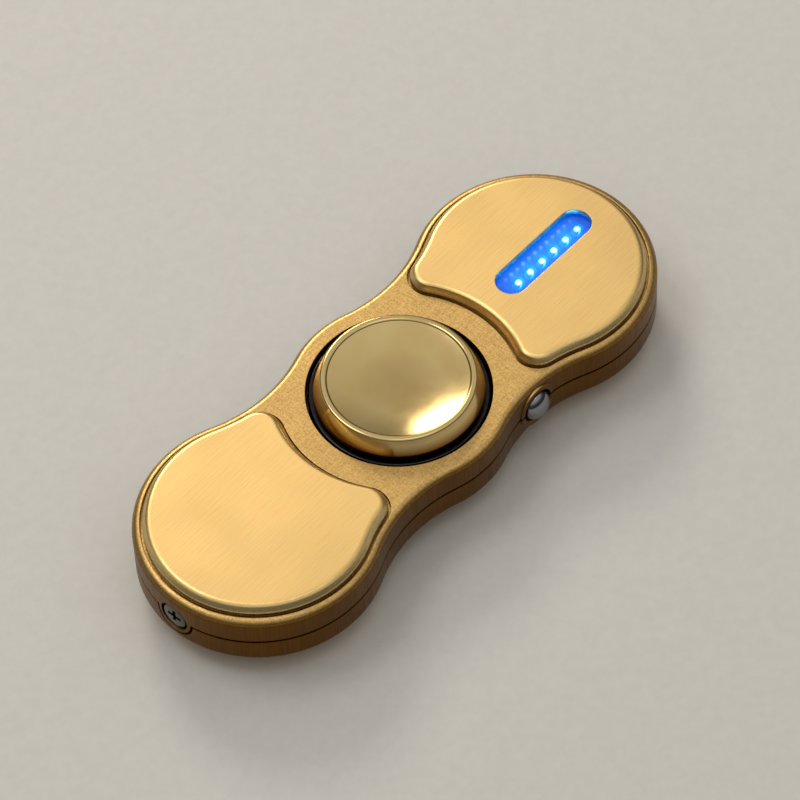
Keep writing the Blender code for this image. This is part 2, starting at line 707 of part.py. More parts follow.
def contact_mesh(name, low, high):
    """Flat spring strip across the cell that ends above or below the start of its lead."""
    tip = Vector((-LEAD_END_RADIUS * math.cos(LEAD_END_ANGLE), LEAD_END_RADIUS * math.sin(LEAD_END_ANGLE)))
    centre = Vector((CELL_X, 0))
    along = (tip - centre).normalized()
    across = Vector((-along.y, along.x)) * CONTACT_WIDTH / 2
    back = centre - along * CELL_RADIUS / 2
    front = tip + along * LEAD_RADIUS
    outline = [back - across, front - across, front + across, back + across]
    return outline_mesh(name, [outline], low, high)


def build_battery():
    half = CELL_THICKNESS / 2
    holder = [
        (HOLDER_RADIUS - HOLDER_WALL, half),
        (HOLDER_RADIUS, half),
        (HOLDER_RADIUS, -half),
        (HOLDER_RADIUS - HOLDER_WALL, -half),
    ]
    turned_part("battery_holder", holder, True, BLACK_PLASTIC, location=(CELL_X, 0, 0))
    step = HOLDER_WALL / 2
    cell = [
        (0, half),
        (CELL_RADIUS - 2 * step, half),
        (CELL_RADIUS - 2 * step, half - step),
        (CELL_RADIUS, half - step),
        (CELL_RADIUS, -half),
        (0, -half),
    ]
    turned_part("battery_cell", cell, False, NICKEL, location=(CELL_X, 0, 0))

    contact = half + CLEARANCE
    mesh = contact_mesh("positive_contact", contact, contact + CONTACT_THICKNESS)
    add_part(mesh.name, mesh, COPPER_ALLOY)
    mesh = contact_mesh("negative_contact", -contact - CONTACT_THICKNESS, -contact)
    add_part(mesh.name, mesh, COPPER_ALLOY)

    lead_gap = CLEARANCE + LEAD_RADIUS
    at_battery = contact - lead_gap
    build_lead("positive_lead", RED_PLASTIC, lead_route(LEAD_SPREAD / 2, at_battery, LEAD_SPREAD / 2))
    build_lead("negative_lead", BLACK_PLASTIC, lead_route(-LEAD_SPREAD / 2, -at_battery, -LEAD_SPREAD / 2))


def build_end_screw():
    """Cross-head screw along X that closes the plain end."""
    head = -END_X + SCREW_SINK
    under = head + SCREW_HEAD_THICKNESS
    tip = -END_X + TONGUE_THICKNESS + 2 * CLEARANCE + BOSS_THICKNESS
    chamfer = SCREW_HEAD_THICKNESS / 5
    profile = [
        (0, -head),
        (SCREW_HEAD_RADIUS - chamfer, -head),
        (SCREW_HEAD_RADIUS, -head - chamfer),
        (SCREW_HEAD_RADIUS, -under),
        (SCREW_RADIUS, -under),
        (SCREW_RADIUS, -tip),
        (0, -tip),
    ]
    screw = turned_part("end_screw", profile, False, NICKEL, steps=24)
    screw.rotation_euler = (0, -math.pi / 2, 0)
    depth, length, width = SCREW_SLOT
    for name, half_y, half_z in (("slot_y", length / 2, width / 2), ("slot_z", width / 2, length / 2)):
        slot = box_mesh(name, (head - PAST, -half_y, -half_z), (head + depth / 2, half_y, half_z))
        cut(screw, add_cutter(slot.name, slot))


def build_bearing():
    inner = PITCH_RADIUS - RACE_SHOULDER
    outer = PITCH_RADIUS + RACE_SHOULDER
    seat = outer + SHIELD_SEAT_STEP
    seat_z = BEARING_FACE - SHIELD_RECESS
    groove = math.acos(RACE_SHOULDER / GROOVE_RADIUS)
    centre = (PITCH_RADIUS, 0)

    inner_race = [
        (BEARING_BORE_RADIUS, BEARING_FACE),
        (inner, BEARING_FACE),
        *arc(centre, GROOVE_RADIUS, math.pi - groove, math.pi + groove, 4),
        (inner, -BEARING_FACE),
        (BEARING_BORE_RADIUS, -BEARING_FACE),
    ]
    turned_part("bearing_inner_race", inner_race, True, STEEL)

    outer_race = [
        (BEARING_RADIUS, BEARING_FACE),
        (BEARING_RADIUS, -BEARING_FACE),
        (seat, -BEARING_FACE),
        (seat, -seat_z),
        (outer, -seat_z),
        *arc(centre, GROOVE_RADIUS, -groove, groove, 4),
        (outer, seat_z),
        (seat, seat_z),
        (seat, BEARING_FACE),
    ]
    turned_part("bearing_outer_race", outer_race, True, STEEL)

    cage_top = BALL_RADIUS + CLEARANCE + CAGE_RIM
    cage = [
        (PITCH_RADIUS + CAGE_WALL / 2, cage_top),
        (PITCH_RADIUS + CAGE_WALL / 2, -cage_top),
        (PITCH_RADIUS - CAGE_WALL / 2, -cage_top),
        (PITCH_RADIUS - CAGE_WALL / 2, cage_top),
    ]
    cage_part = turned_part("bearing_cage", cage, True, COPPER_ALLOY, steps=42)
    for index in range(BALL_COUNT):
        angle = math.tau * index / BALL_COUNT
        place = Vector((PITCH_RADIUS * math.cos(angle), PITCH_RADIUS * math.sin(angle), 0))
        name = f"bearing_ball_{index + 1}"
        form = bmesh.new()
        bmesh.ops.create_uvsphere(form, u_segments=10, v_segments=6, radius=BALL_RADIUS)
        add_part(name, finish_mesh(form, name), STEEL, place)
        pocket = cylinder_mesh(
            f"ball_pocket_{index}",
            BALL_RADIUS + CLEARANCE,
            PITCH_RADIUS - CAGE_WALL / 2 - PAST,
            PITCH_RADIUS + CAGE_WALL / 2 + PAST,
            "X",
            16,
        )
        cutter = add_cutter(pocket.name, pocket)
        cutter.rotation_euler.z = angle
        cut(cage_part, cutter)

    shield_low = seat_z + CLEARANCE
    for name, side in (("upper_bearing_shield", 1), ("lower_bearing_shield", -1)):
        low, high = span(side * shield_low, side * (shield_low + SHIELD_THICKNESS))
        ring = [
            (inner + CLEARANCE, high),
            (seat - CLEARANCE, high),
            (seat - CLEARANCE, low),
            (inner + CLEARANCE, low),
        ]
        turned_part(name, ring, True, STEEL)


def cap_profile():
    """The upper cap's outline from the middle of the dish to the foot of its sleeve."""
    crest_inner = CAP_CREST_RADIUS - CAP_CREST_WIDTH / 2
    crest_outer = CAP_CREST_RADIUS + CAP_CREST_WIDTH / 2
    dish_radius = (crest_inner**2 + CAP_DISH_DEPTH**2) / (2 * CAP_DISH_DEPTH)
    half_angle = math.asin(crest_inner / dish_radius)
    dish_centre = (0, CAP_TOP - CAP_DISH_DEPTH + dish_radius)
    dish = arc(dish_centre, dish_radius, -math.pi / 2, -math.pi / 2 + half_angle, 4)
    dish[0] = (0, CAP_TOP - CAP_DISH_DEPTH)
    shoulder_centre = Vector((crest_outer, CAP_TOP - CAP_SHOULDER))
    flank_foot = Vector((CAP_FLANGE_RADIUS, CAP_BOTTOM + CAP_STANDOFF))
    reach = flank_foot - shoulder_centre
    tangent = math.atan2(reach.y, reach.x) + math.acos(CAP_SHOULDER / reach.length)
    shoulder = arc(shoulder_centre, CAP_SHOULDER, math.pi / 2, tangent, 3)
    return [
        *dish,
        *shoulder,
        tuple(flank_foot),
        (CAP_FLANGE_RADIUS, CAP_BOTTOM),
        (CAP_SPACER_RADIUS, CAP_BOTTOM),
        (CAP_SPACER_RADIUS, BEARING_FACE + CLEARANCE),
    ]


def build_finger_caps():
    """Two caps that screw together through the bearing's bore and hold its inner race."""
    sleeve = BEARING_BORE_RADIUS - CLEARANCE
    bore = STUD_RADIUS + CLEARANCE
    bore_top = BEARING_FACE
    upper = [
        *cap_profile(),
        (sleeve, BEARING_FACE + CLEARANCE),
        (sleeve, CLEARANCE),
        (bore, CLEARANCE),
        (bore, bore_top),
        (0, bore_top),
    ]
    turned_part("upper_finger_cap", upper, False, POLISHED_BRASS, steps=44)
    stud_top = bore_top - CLEARANCE
    lower = [
        (0, stud_top),
        (STUD_RADIUS, stud_top),
        (STUD_RADIUS, 0),
        (sleeve, 0),
        (sleeve, -BEARING_FACE - CLEARANCE),
        *((radius, -z) for radius, z in reversed(cap_profile())),
    ]
    turned_part("lower_finger_cap", lower, False, POLISHED_BRASS, steps=44)


clear_scene()
PARTS = new_collection("fidget_spinner")
CUTTERS = new_collection("cutters", hidden=True)
build_upper_shell()
build_lower_shell()
build_cover_plates()
build_lens()
build_board()
build_button()
build_battery()
build_end_screw()
build_bearing()
build_finger_caps()
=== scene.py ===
"""Looks of the light-up fidget spinner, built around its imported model.

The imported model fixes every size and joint. This script gives each visible piece a fine mesh and a worked
finish, then sets up a plain studio. The bearing axis is Z, +X points to the lobe with the light window and
-Y to the side with the push button. Lengths are in metres.
"""

import logging
import math
from dataclasses import dataclass, field
from enum import Enum

import bmesh
import bpy
from mathutils import Matrix, Vector


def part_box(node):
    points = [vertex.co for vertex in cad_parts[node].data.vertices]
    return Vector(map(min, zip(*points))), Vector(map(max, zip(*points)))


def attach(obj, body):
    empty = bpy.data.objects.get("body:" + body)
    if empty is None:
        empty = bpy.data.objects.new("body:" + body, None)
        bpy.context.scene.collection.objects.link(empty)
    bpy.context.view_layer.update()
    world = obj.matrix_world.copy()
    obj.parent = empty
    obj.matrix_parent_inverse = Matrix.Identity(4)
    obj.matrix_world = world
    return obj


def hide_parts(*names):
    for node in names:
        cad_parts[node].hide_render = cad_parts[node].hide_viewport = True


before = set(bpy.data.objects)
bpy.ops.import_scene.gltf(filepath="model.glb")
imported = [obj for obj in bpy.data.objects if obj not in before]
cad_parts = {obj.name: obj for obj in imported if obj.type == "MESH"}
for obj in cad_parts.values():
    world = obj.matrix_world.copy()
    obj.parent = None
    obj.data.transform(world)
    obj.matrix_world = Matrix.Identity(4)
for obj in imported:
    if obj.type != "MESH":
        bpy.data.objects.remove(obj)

MM = 0.001
WELD = 0.0005 * MM
HALF_TURN = Matrix.Rotation(math.pi, 3, "Z")
Y_AXIS_OUT = Matrix.Rotation(math.pi / 2, 3, "X")
LOG = logging.getLogger("fidget_spinner")
Loop = list[bmesh.types.BMEdge]
Arc = tuple[Vector, float, int]
Point = tuple[float, float]


# Colour and nodes ---------------------------------------------------------------------------------------


def linear(code: str) -> tuple[float, float, float, float]:
    """Turns an sRGB hex colour to linear light.

    Args:
        code: colour such as "#D9AE63".

    Returns:
        Red, green, blue and an alpha of 1.
    """
    parts = [int(code[i : i + 2], 16) / 255 for i in (1, 3, 5)]
    red, green, blue = (c / 12.92 if c <= 0.04045 else ((c + 0.055) / 1.055) ** 2.4 for c in parts)
    return red, green, blue, 1.0


def feed(node: bpy.types.Node, inputs: dict | list | tuple) -> None:
    """Sets or links a node's inputs.

    Args:
        node: node to feed.
        inputs: values, sockets or nodes, by input name or number, or listed from the first input on. A node
            gives the output that it has in use.
    """
    pairs = inputs.items() if isinstance(inputs, dict) else enumerate(inputs)
    for key, value in pairs:
        if isinstance(value, bpy.types.Node):
            value = next(output for output in value.outputs if output.enabled)
        if isinstance(value, bpy.types.NodeSocket):
            node.id_data.links.new(value, node.inputs[key])
        else:
            node.inputs[key].default_value = value


def add_node(
    tree: bpy.types.NodeTree, kind: str, inputs: dict | list | tuple = (), **settings: object
) -> bpy.types.Node:
    """Adds a shader node, with its settings and what feeds it.

    Args:
        tree: node tree that takes the node.
        kind: node type without its prefix, such as "Mix".
        inputs: what feeds it, as in feed.
        **settings: the node's own properties.

    Returns:
        The node.
    """
    node = tree.nodes.new(f"ShaderNode{kind}")
    for name, value in settings.items():
        setattr(node, name, value)
    feed(node, inputs)
    return node


def new_material(name: str) -> tuple[bpy.types.Material, bpy.types.NodeTree, bpy.types.Node]:
    """Makes an empty material with one Principled shader.

    Args:
        name: material name.

    Returns:
        The material, its node tree and its shader.
    """
    material = bpy.data.materials.new(name)
    material.use_nodes = True
    tree = material.node_tree
    tree.nodes.clear()
    shader = add_node(tree, "BsdfPrincipled")
    add_node(tree, "OutputMaterial", [shader])
    return material, tree, shader


class Lay(Enum):
    """Which way a brushed or ground surface's lines run."""

    ALONG = "along the body"
    CROSSED = "both ways, short and irregular"
    UPRIGHT = "up the side walls"


def streaks(
    tree: bpy.types.NodeTree, lay: Lay, pitch: float, length: float, seed: float = 0.0
) -> bpy.types.Node:
    """Noise drawn out into lines.

    Args:
        tree: node tree that takes the nodes.
        lay: the lines' direction.
        pitch: distance between lines, in metres.
        length: length of a line, in metres.
        seed: shifts the pattern.

    Returns:
        A node that gives 0 to 1.
    """
    place_of = add_node(tree, "TexCoord").outputs["Object"]
    fine, long = 1 / pitch, 1 / length
    scale = {
        Lay.ALONG: (long, fine, fine),
        Lay.CROSSED: (fine, long, fine),
        Lay.UPRIGHT: (fine, fine, long),
    }[lay]
    spread = add_node(
        tree, "Mapping", {"Vector": place_of, "Scale": scale, "Location": (seed, seed, seed)}
    )
    return add_node(tree, "TexNoise", {"Vector": spread, "Scale": 1.0, "Detail": 3.0})


def grains(tree: bpy.types.NodeTree, size: float, detail: float = 2.0) -> bpy.types.Node:
    """Even noise of one grain size, in metres, with octaves of finer detail; gives 0 to 1."""
    place_of = add_node(tree, "TexCoord").outputs["Object"]
    return add_node(tree, "TexNoise", {"Vector": place_of, "Scale": 1 / size, "Detail": detail})


def upright_part(tree: bpy.types.NodeTree, vector: bpy.types.NodeSocket) -> bpy.types.Node:
    """Size of a vector's Z part: how flat a surface lies, or how far a point is from the mid-plane."""
    parts = add_node(tree, "SeparateXYZ", [vector])
    return add_node(tree, "Math", [parts.outputs["Z"]], operation="ABSOLUTE")


def row_distance(tree: bpy.types.NodeTree, first: float, pitch: float, line: float = 0.0) -> bpy.types.Node:
    """Distance in plan from the nearest point of an even row along X.

    Args:
        tree: node tree that takes the nodes.
        first: x of one point of the row.
        pitch: distance from point to point.
        line: the row's y.

    Returns:
        A node that gives the distance, as a share of the pitch.
    """
    moved = add_node(
        tree,
        "Mapping",
        {
            "Vector": add_node(tree, "TexCoord").outputs["Object"],
            "Location": (0.5 - first / pitch, -line / pitch, 0.0),
            "Scale": (1 / pitch, 1 / pitch, 0.0),
        },
    )
    parts = add_node(tree, "SeparateXYZ", [moved])
    share = add_node(tree, "Math", [parts.outputs["X"]], operation="FRACT")
    along = add_node(tree, "Math", [share, 0.5], operation="SUBTRACT")
    flat = add_node(tree, "CombineXYZ", [along, parts.outputs["Y"]])
    return add_node(tree, "VectorMath", [flat], operation="LENGTH")


# Finishes -----------------------------------------------------------------------------------------------


@dataclass(frozen=True)
class BrushedBrass:
    """Brass plate over a zinc casting, brushed on the flats and up the side walls.

    The eye sees fine lines that catch the light, a little grain between them and soft clouds of tone.
    Surfaces that face sideways and the lips of the seam take a separate side colour: painted shade where it
    is darker than the flats, as on the shells' walls and in the seam, and a painted reflection where it is
    lighter, as on the plates' flanks.
    """

    name: str
    light: str
    dark: str
    lay: Lay = Lay.ALONG
    pitch: float = 0.16 * MM
    length: float = 5.0 * MM
    cross: float = 0.0
    grain: float = 0.25
    grain_size: float = 0.22 * MM
    wall_length: float = 6.0 * MM
    cloud_size: float = 9.0 * MM
    roughness: float = 0.34
    relief: float = 0.25
    # Side colour and the masks that lay it on: painted shade by default (dark walls and seam lips), a
    # painted reflection where it is set lighter.
    painted_side_light: str = "#744B0E"
    painted_side_dark: str = "#63400C"
    turnover: Point = (0.88, 0.25)
    painted_seam_shade_heights: Point = (0.5 * MM, 0.9 * MM)

    def make(self) -> bpy.types.Material:
        """Builds the material."""
        material, tree, shader = new_material(self.name)
        lines = streaks(tree, self.lay, self.pitch, self.length)
        across = streaks(tree, Lay.CROSSED, self.pitch * 1.4, self.length * 0.35, seed=7.0)
        flat = add_node(tree, "Mix", {0: self.cross, 2: lines, 3: across})
        flat = add_node(tree, "Mix", {0: self.grain, 2: flat, 3: grains(tree, self.grain_size)})
        wall = streaks(tree, Lay.UPRIGHT, self.pitch * 0.9, self.wall_length, seed=3.0)

        # Sideways-facing surfaces and the seam's lips get the upright brushing and the side colour; that
        # colour is painted shade or a painted reflection.
        spot = add_node(tree, "TexCoord").outputs
        facing = upright_part(tree, spot["Normal"])
        tilt = add_node(tree, "MapRange", [facing, *self.turnover, 0.0, 1.0])
        height = upright_part(tree, spot["Object"])
        seam = add_node(tree, "MapRange", [height, *self.painted_seam_shade_heights, 1.0, 0.0])
        side = add_node(tree, "Math", [tilt, seam], operation="MAXIMUM")
        pattern = add_node(tree, "Mix", {0: side, 2: flat, 3: wall})

        tone = add_node(tree, "MapRange", [pattern, 0.32, 0.68, 0.0, 1.0])
        top, edge = (
            add_node(tree, "Mix", {0: tone, 6: linear(dark), 7: linear(light)}, data_type="RGBA")
            for dark, light in ((self.dark, self.light), (self.painted_side_dark, self.painted_side_light))
        )
        colour = add_node(tree, "Mix", {0: side, 6: top, 7: edge}, data_type="RGBA")
        clouds = add_node(tree, "MapRange", [grains(tree, self.cloud_size, 1.0), 0.35, 0.65, 0.95, 1.04])
        span = (self.roughness + 0.07, self.roughness - 0.06)
        feed(
            shader,
            {
                "Base Color": add_node(tree, "HueSaturation", {"Color": colour, "Value": clouds}),
                "Roughness": add_node(tree, "MapRange", [pattern, 0.3, 0.7, *span]),
                "Normal": add_node(
                    tree, "Bump", {"Height": pattern, "Strength": self.relief, "Distance": 0.02 * MM}
                ),
                "Metallic": 1.0,
            },
        )
        return material


@dataclass(frozen=True)
class PolishedMetal:
    """Metal polished to a mirror, with hairline wiping marks that only show in a highlight.

    A darker colour can be painted in towards the mid-plane, fading out between two heights from z = 0; on
    the finger caps it is painted shade on the lower flank.
    """

    name: str
    light: str
    dark: str
    roughness: float = 0.07
    scuff: float = 0.05
    relief: float = 0.04
    haze_size: float = 5.0 * MM
    mark_pitch: float = 0.12 * MM
    mark_length: float = 3.0 * MM
    painted_deep_tone: str | None = None
    painted_shade_heights: Point = (0.0, 1.0)

    def make(self) -> bpy.types.Material:
        """Builds the material."""
        material, tree, shader = new_material(self.name)
        haze = grains(tree, self.haze_size, 3.0)
        marks = streaks(tree, Lay.ALONG, self.mark_pitch, self.mark_length)
        tone = add_node(tree, "MapRange", [haze, 0.35, 0.65, 0.0, 1.0])
        colour = add_node(
            tree, "Mix", {0: tone, 6: linear(self.dark), 7: linear(self.light)}, data_type="RGBA"
        )
        # Painted shade: the colour darkens towards the mid-plane below the given heights.
        if self.painted_deep_tone:
            height = upright_part(tree, add_node(tree, "TexCoord").outputs["Object"])
            painted_shade_share = add_node(tree, "MapRange", [height, *self.painted_shade_heights, 1.0, 0.0])
            colour = add_node(tree, "Mix", {0: painted_shade_share, 6: colour, 7: linear(self.painted_deep_tone)}, data_type="RGBA")
        rough = add_node(tree, "Mix", {0: 0.4, 2: haze, 3: marks})
        span = (self.roughness, self.roughness + self.scuff)
        feed(
            shader,
            {
                "Base Color": colour,
                "Roughness": add_node(tree, "MapRange", [rough, 0.4, 0.62, *span]),
                "Normal": add_node(
                    tree, "Bump", {"Height": marks, "Strength": self.relief, "Distance": 0.01 * MM}
                ),
                "Metallic": 1.0,
            },
        )
        return material


@dataclass(frozen=True)
class GroundSteel:
    """Bearing steel, ground in rings about the bearing axis, coloured near black as painted shade for the
    dark gap round the caps.
    """

    name: str = "bearing_steel"
    # Near-black tones: painted shade for the gap between each cap and the bearing hole.
    light: str = "#3A3836"
    dark: str = "#1C1B1A"
    pitch: float = 0.14 * MM
    grain_size: float = 0.6 * MM

    def make(self) -> bpy.types.Material:
        """Builds the material."""
        material, tree, shader = new_material(self.name)
        parts = add_node(tree, "SeparateXYZ", [add_node(tree, "TexCoord").outputs["Object"]]).outputs
        flat = add_node(tree, "CombineXYZ", [parts["X"], parts["Y"]])
        radius = add_node(tree, "VectorMath", [flat], operation="LENGTH")
        rings = add_node(
            tree,
            "TexNoise",
            {"W": radius, "Scale": 1 / self.pitch, "Detail": 3.0},
            noise_dimensions="1D",
        )
        mixed = add_node(tree, "Mix", {0: 0.3, 2: rings, 3: grains(tree, self.grain_size)})
        tone = add_node(tree, "MapRange", [mixed, 0.35, 0.65, 0.0, 1.0])
        feed(
            shader,
            {
                "Base Color": add_node(
                    tree, "Mix", {0: tone, 6: linear(self.dark), 7: linear(self.light)}, data_type="RGBA"
                ),
                "Roughness": add_node(tree, "MapRange", [mixed, 0.3, 0.7, 0.3, 0.16]),
                "Metallic": 1.0,
            },
        )
        return material


@dataclass(frozen=True)
class MouldedPlastic:
    """Moulded plastic with a fine spark-eroded texture."""

    name: str
    light: str
    dark: str
    roughness: float = 0.45
    ior: float = 1.49
    grit: float = 0.18 * MM
    mottle: float = 3.0 * MM

    def make(self) -> bpy.types.Material:
        """Builds the material."""
        material, tree, shader = new_material(self.name)
        pits = grains(tree, self.grit, 3.0)
        mixed = add_node(tree, "Mix", {0: 0.5, 2: pits, 3: grains(tree, self.mottle)})
        tone = add_node(tree, "MapRange", [mixed, 0.35, 0.65, 0.0, 1.0])
        span = (self.roughness - 0.06, self.roughness + 0.08)
        feed(
            shader,
            {
                "Base Color": add_node(
                    tree, "Mix", {0: tone, 6: linear(self.dark), 7: linear(self.light)}, data_type="RGBA"
                ),
                "Roughness": add_node(tree, "MapRange", [pits, 0.3, 0.7, *span]),
                "Normal": add_node(tree, "Bump", {"Height": pits, "Strength": 0.15, "Distance": 0.02 * MM}),
                "IOR": self.ior,
            },
        )
        return material


@dataclass(frozen=True)
class SolderMask:
    """Glass-fibre board under green solder mask, with copper tracks showing as lighter lines."""

    name: str = "solder_mask"
    mask: str = "#0E4A28"
    track: str = "#1D6B3C"
    pitch: float = 1.6 * MM
    weave: float = 0.4 * MM

    def make(self) -> bpy.types.Material:
        """Builds the material."""
        material, tree, shader = new_material(self.name)
        cells = add_node(
            tree,
            "TexBrick",
            {
                "Vector": add_node(tree, "TexCoord").outputs["Object"],
                "Scale": 1 / (4 * self.pitch),
                "Mortar Size": 0.035,
                "Color1": linear(self.mask),
                "Color2": linear(self.mask),
                "Mortar": linear(self.track),
            },
        )
        weave = grains(tree, self.weave)
        shade = add_node(tree, "MapRange", [weave, 0.3, 0.7, 0.85, 1.12])
        feed(
            shader,
            {
                "Base Color": add_node(tree, "HueSaturation", {"Color": cells, "Value": shade}),
                "Roughness": add_node(tree, "MapRange", [weave, 0.3, 0.7, 0.28, 0.42]),
                "IOR": 1.52,
            },
        )
        return material


@dataclass(frozen=True)
class LitLens:
    """Clear blue moulded window that carries the light of the diodes under it.

    The plastic glows blue all over, deeper at the ends, with a row of small moulded dots along one side that
    pick up the light.
    """

    name: str = "lit_blue_lens"
    plastic: str = "#6FB4FF"
    painted_deep_tone: str = "#0452D8"
    bright: str = "#0A96FF"
    dot: str = "#8FD0FF"
    first: float = 0.0
    pitch: float = 1.0
    dot_pitch: float = 1.1 * MM
    dot_line: float = 1.15 * MM
    ends: Point = (0.0, 1.0)
    end_fade: Point = (1.0 * MM, 3.6 * MM)
    cloud_size: float = 0.6 * MM

    def make(self) -> bpy.types.Material:
        """Builds the material."""
        material, tree, shader = new_material(self.name)
        parts = add_node(tree, "SeparateXYZ", [add_node(tree, "TexCoord").outputs["Object"]])
        middle, half = sum(self.ends) / 2, (self.ends[1] - self.ends[0]) / 2
        off = add_node(tree, "Math", [parts.outputs["X"], middle], operation="SUBTRACT")
        away = add_node(tree, "Math", [off], operation="ABSOLUTE")
        fade = [half - reach for reach in self.end_fade]
        inner = add_node(tree, "MapRange", [away, *fade, 0.0, 1.0])
        near = row_distance(tree, self.first, self.pitch)
        pool = add_node(tree, "MapRange", [near, 0.75, 0.1, 0.35, 1.0])
        glow = add_node(tree, "Math", [pool, inner], operation="MULTIPLY")
        cloudy = add_node(tree, "Mix", {0: 0.2, 2: glow, 3: grains(tree, self.cloud_size)})
        bright = linear(self.bright)
        sea = add_node(tree, "Mix", {0: cloudy, 6: linear(self.painted_deep_tone), 7: bright}, data_type="RGBA")
        dots = row_distance(tree, self.first, self.dot_pitch, self.dot_line)
        dotted = add_node(tree, "MapRange", [dots, 0.3, 0.16, 0.0, 0.6])
        within = add_node(tree, "Math", [dotted, inner], operation="MULTIPLY")
        tint = add_node(tree, "Mix", {0: cloudy, 6: bright, 7: linear(self.plastic)}, data_type="RGBA")
        lit = add_node(tree, "Mix", {0: within, 6: sea, 7: linear(self.dot)}, data_type="RGBA")
        feed(
            shader,
            {
                "Base Color": tint,
                "Emission Color": lit,
                "Emission Strength": add_node(tree, "MapRange", [glow, 0.0, 1.0, 0.35, 0.7]),
                "Roughness": 0.04,
                "IOR": 1.49,
                "Transmission Weight": 0.85,
            },
        )
        return material


@dataclass(frozen=True)
class LitDiode:
    """White diode package with a glowing chip in its middle."""

    name: str = "lit_diode"
    core: str = "#FFF6FA"
    halo: str = "#1C9CFF"
    first: float = 0.0
    pitch: float = 1.0
    grain_size: float = 0.3 * MM

    def make(self) -> bpy.types.Material:
        """Builds the material."""
        material, tree, shader = new_material(self.name)
        chip = add_node(
            tree, "MapRange", [row_distance(tree, self.first, self.pitch), 0.22, 0.1, 0.0, 1.0]
        )
        grain = add_node(tree, "MapRange", [grains(tree, self.grain_size), 0.3, 0.7, 0.9, 1.0])
        colour = add_node(
            tree, "Mix", {0: chip, 6: linear(self.halo), 7: linear(self.core)}, data_type="RGBA"
        )
        power = add_node(tree, "MapRange", [chip, 0.0, 1.0, 1.2, 30.0])
        feed(
            shader,
            {
                "Base Color": colour,
                "Emission Color": colour,
                "Emission Strength": add_node(tree, "Math", [power, grain], operation="MULTIPLY"),
                "Roughness": 0.2,
            },
        )
        return material


@dataclass(frozen=True)
class PaleFloor:
    """Matt painted board, with a barely visible roller texture."""

    name: str = "pale_floor"
    tone: str = "#D9D6D0"
    grain_size: float = 1.2 * MM

    def make(self) -> bpy.types.Material:
        """Builds the material."""
        material, tree, shader = new_material(self.name)
        soft = add_node(tree, "MapRange", [grains(tree, self.grain_size, 3.0), 0.3, 0.7, 0.97, 1.02])
        colour = add_node(tree, "HueSaturation", {"Color": linear(self.tone), "Value": soft})
        feed(shader, {"Base Color": colour, "Roughness": 0.6})
        return material


# Mesh work ----------------------------------------------------------------------------------------------


def trace(form: bmesh.types.BMesh, start: Vector, height: float, arcs: list[Arc]) -> Loop:
    """Runs a point along arcs that follow one another, and closes the loop.

    Args:
        form: mesh that takes the loop.
        start: first point, in plan.
        height: the loop's z.
        arcs: centre, turning angle and steps of each arc.

    Returns:
        The loop's edges.
    """
    before = set(form.edges)
    first = form.verts.new((start.x, start.y, height))
    last = first
    for centre, angle, steps in arcs:
        turned = bmesh.ops.spin(
            form, geom=[last], cent=(centre.x, centre.y, height), axis=(0, 0, 1), angle=angle, steps=steps
        )
        last = next(item for item in turned["geom_last"] if isinstance(item, bmesh.types.BMVert))
    bmesh.ops.weld_verts(form, targetmap={last: first})
    return [edge for edge in form.edges if edge not in before]


def loft(form: bmesh.types.BMesh, loops: list[Loop]) -> None:
    """Closes a solid over loops that follow one another.

    Args:
        form: mesh that holds the loops.
        loops: from one end to the other.
    """
    for lower, upper in zip(loops, loops[1:]):
        bmesh.ops.bridge_loops(form, edges=[*lower, *upper])
    for end in (loops[0], loops[-1]):
        bmesh.ops.edgeloop_fill(form, edges=end)
    bmesh.ops.recalc_face_normals(form, faces=form.faces)


def bend(centre: Point, radius: float, start: float, end: float, steps: int) -> list[Point]:
    """Points of a profile along an arc from one angle to another, in degrees, both ends included."""
    angles = [math.radians(start + (end - start) * i / steps) for i in range(steps + 1)]
    return [(centre[0] + radius * math.cos(a), centre[1] + radius * math.sin(a)) for a in angles]


def turn(form: bmesh.types.BMesh, profile: list[Point], steps: int, closed: bool = False) -> None:
    """Spins a profile once round Z.

    Args:
        form: mesh that takes the solid.
        profile: radius and height of each point.
        steps: steps in the full turn.
        closed: whether the last point joins the first.
    """
    points = [form.verts.new((radius, 0, z)) for radius, z in profile]
    edges = [form.edges.new(pair) for pair in zip(points, points[1:])]
    if closed:
        edges.append(form.edges.new((points[-1], points[0])))
    bmesh.ops.spin(
        form,
        geom=[*points, *edges],
        cent=(0, 0, 0),
        axis=(0, 0, 1),
        angle=math.tau,
        steps=steps,
        use_merge=True,
    )
    bmesh.ops.remove_doubles(form, verts=form.verts, dist=WELD)
    bmesh.ops.recalc_face_normals(form, faces=form.faces)


def place(form: bmesh.types.BMesh, at: Vector, turned: Matrix | None = None) -> None:
    """Turns a finished form about the origin if asked, then moves its origin to a point."""
    if turned:
        bmesh.ops.rotate(form, matrix=turned, verts=form.verts)
    bmesh.ops.translate(form, vec=at, verts=form.verts)


def block(form: bmesh.types.BMesh, low: Vector, high: Vector, edge: float = 0.0) -> None:
    """Block between two corners, with its edges rounded if asked.

    Args:
        form: mesh that takes the block.
        low: lowest corner.
        high: highest corner.
        edge: width of the rounding.
    """
    made = bmesh.ops.create_cube(form, size=1.0)["verts"]
    bmesh.ops.scale(form, vec=high - low, verts=made)
    bmesh.ops.translate(form, vec=(high + low) / 2, verts=made)
    if edge:
        edges = list({item for vertex in made for item in vertex.link_edges})
        bmesh.ops.bevel(
            form, geom=edges, offset=edge, segments=2, profile=0.5, affect="EDGES", material=-1
        )


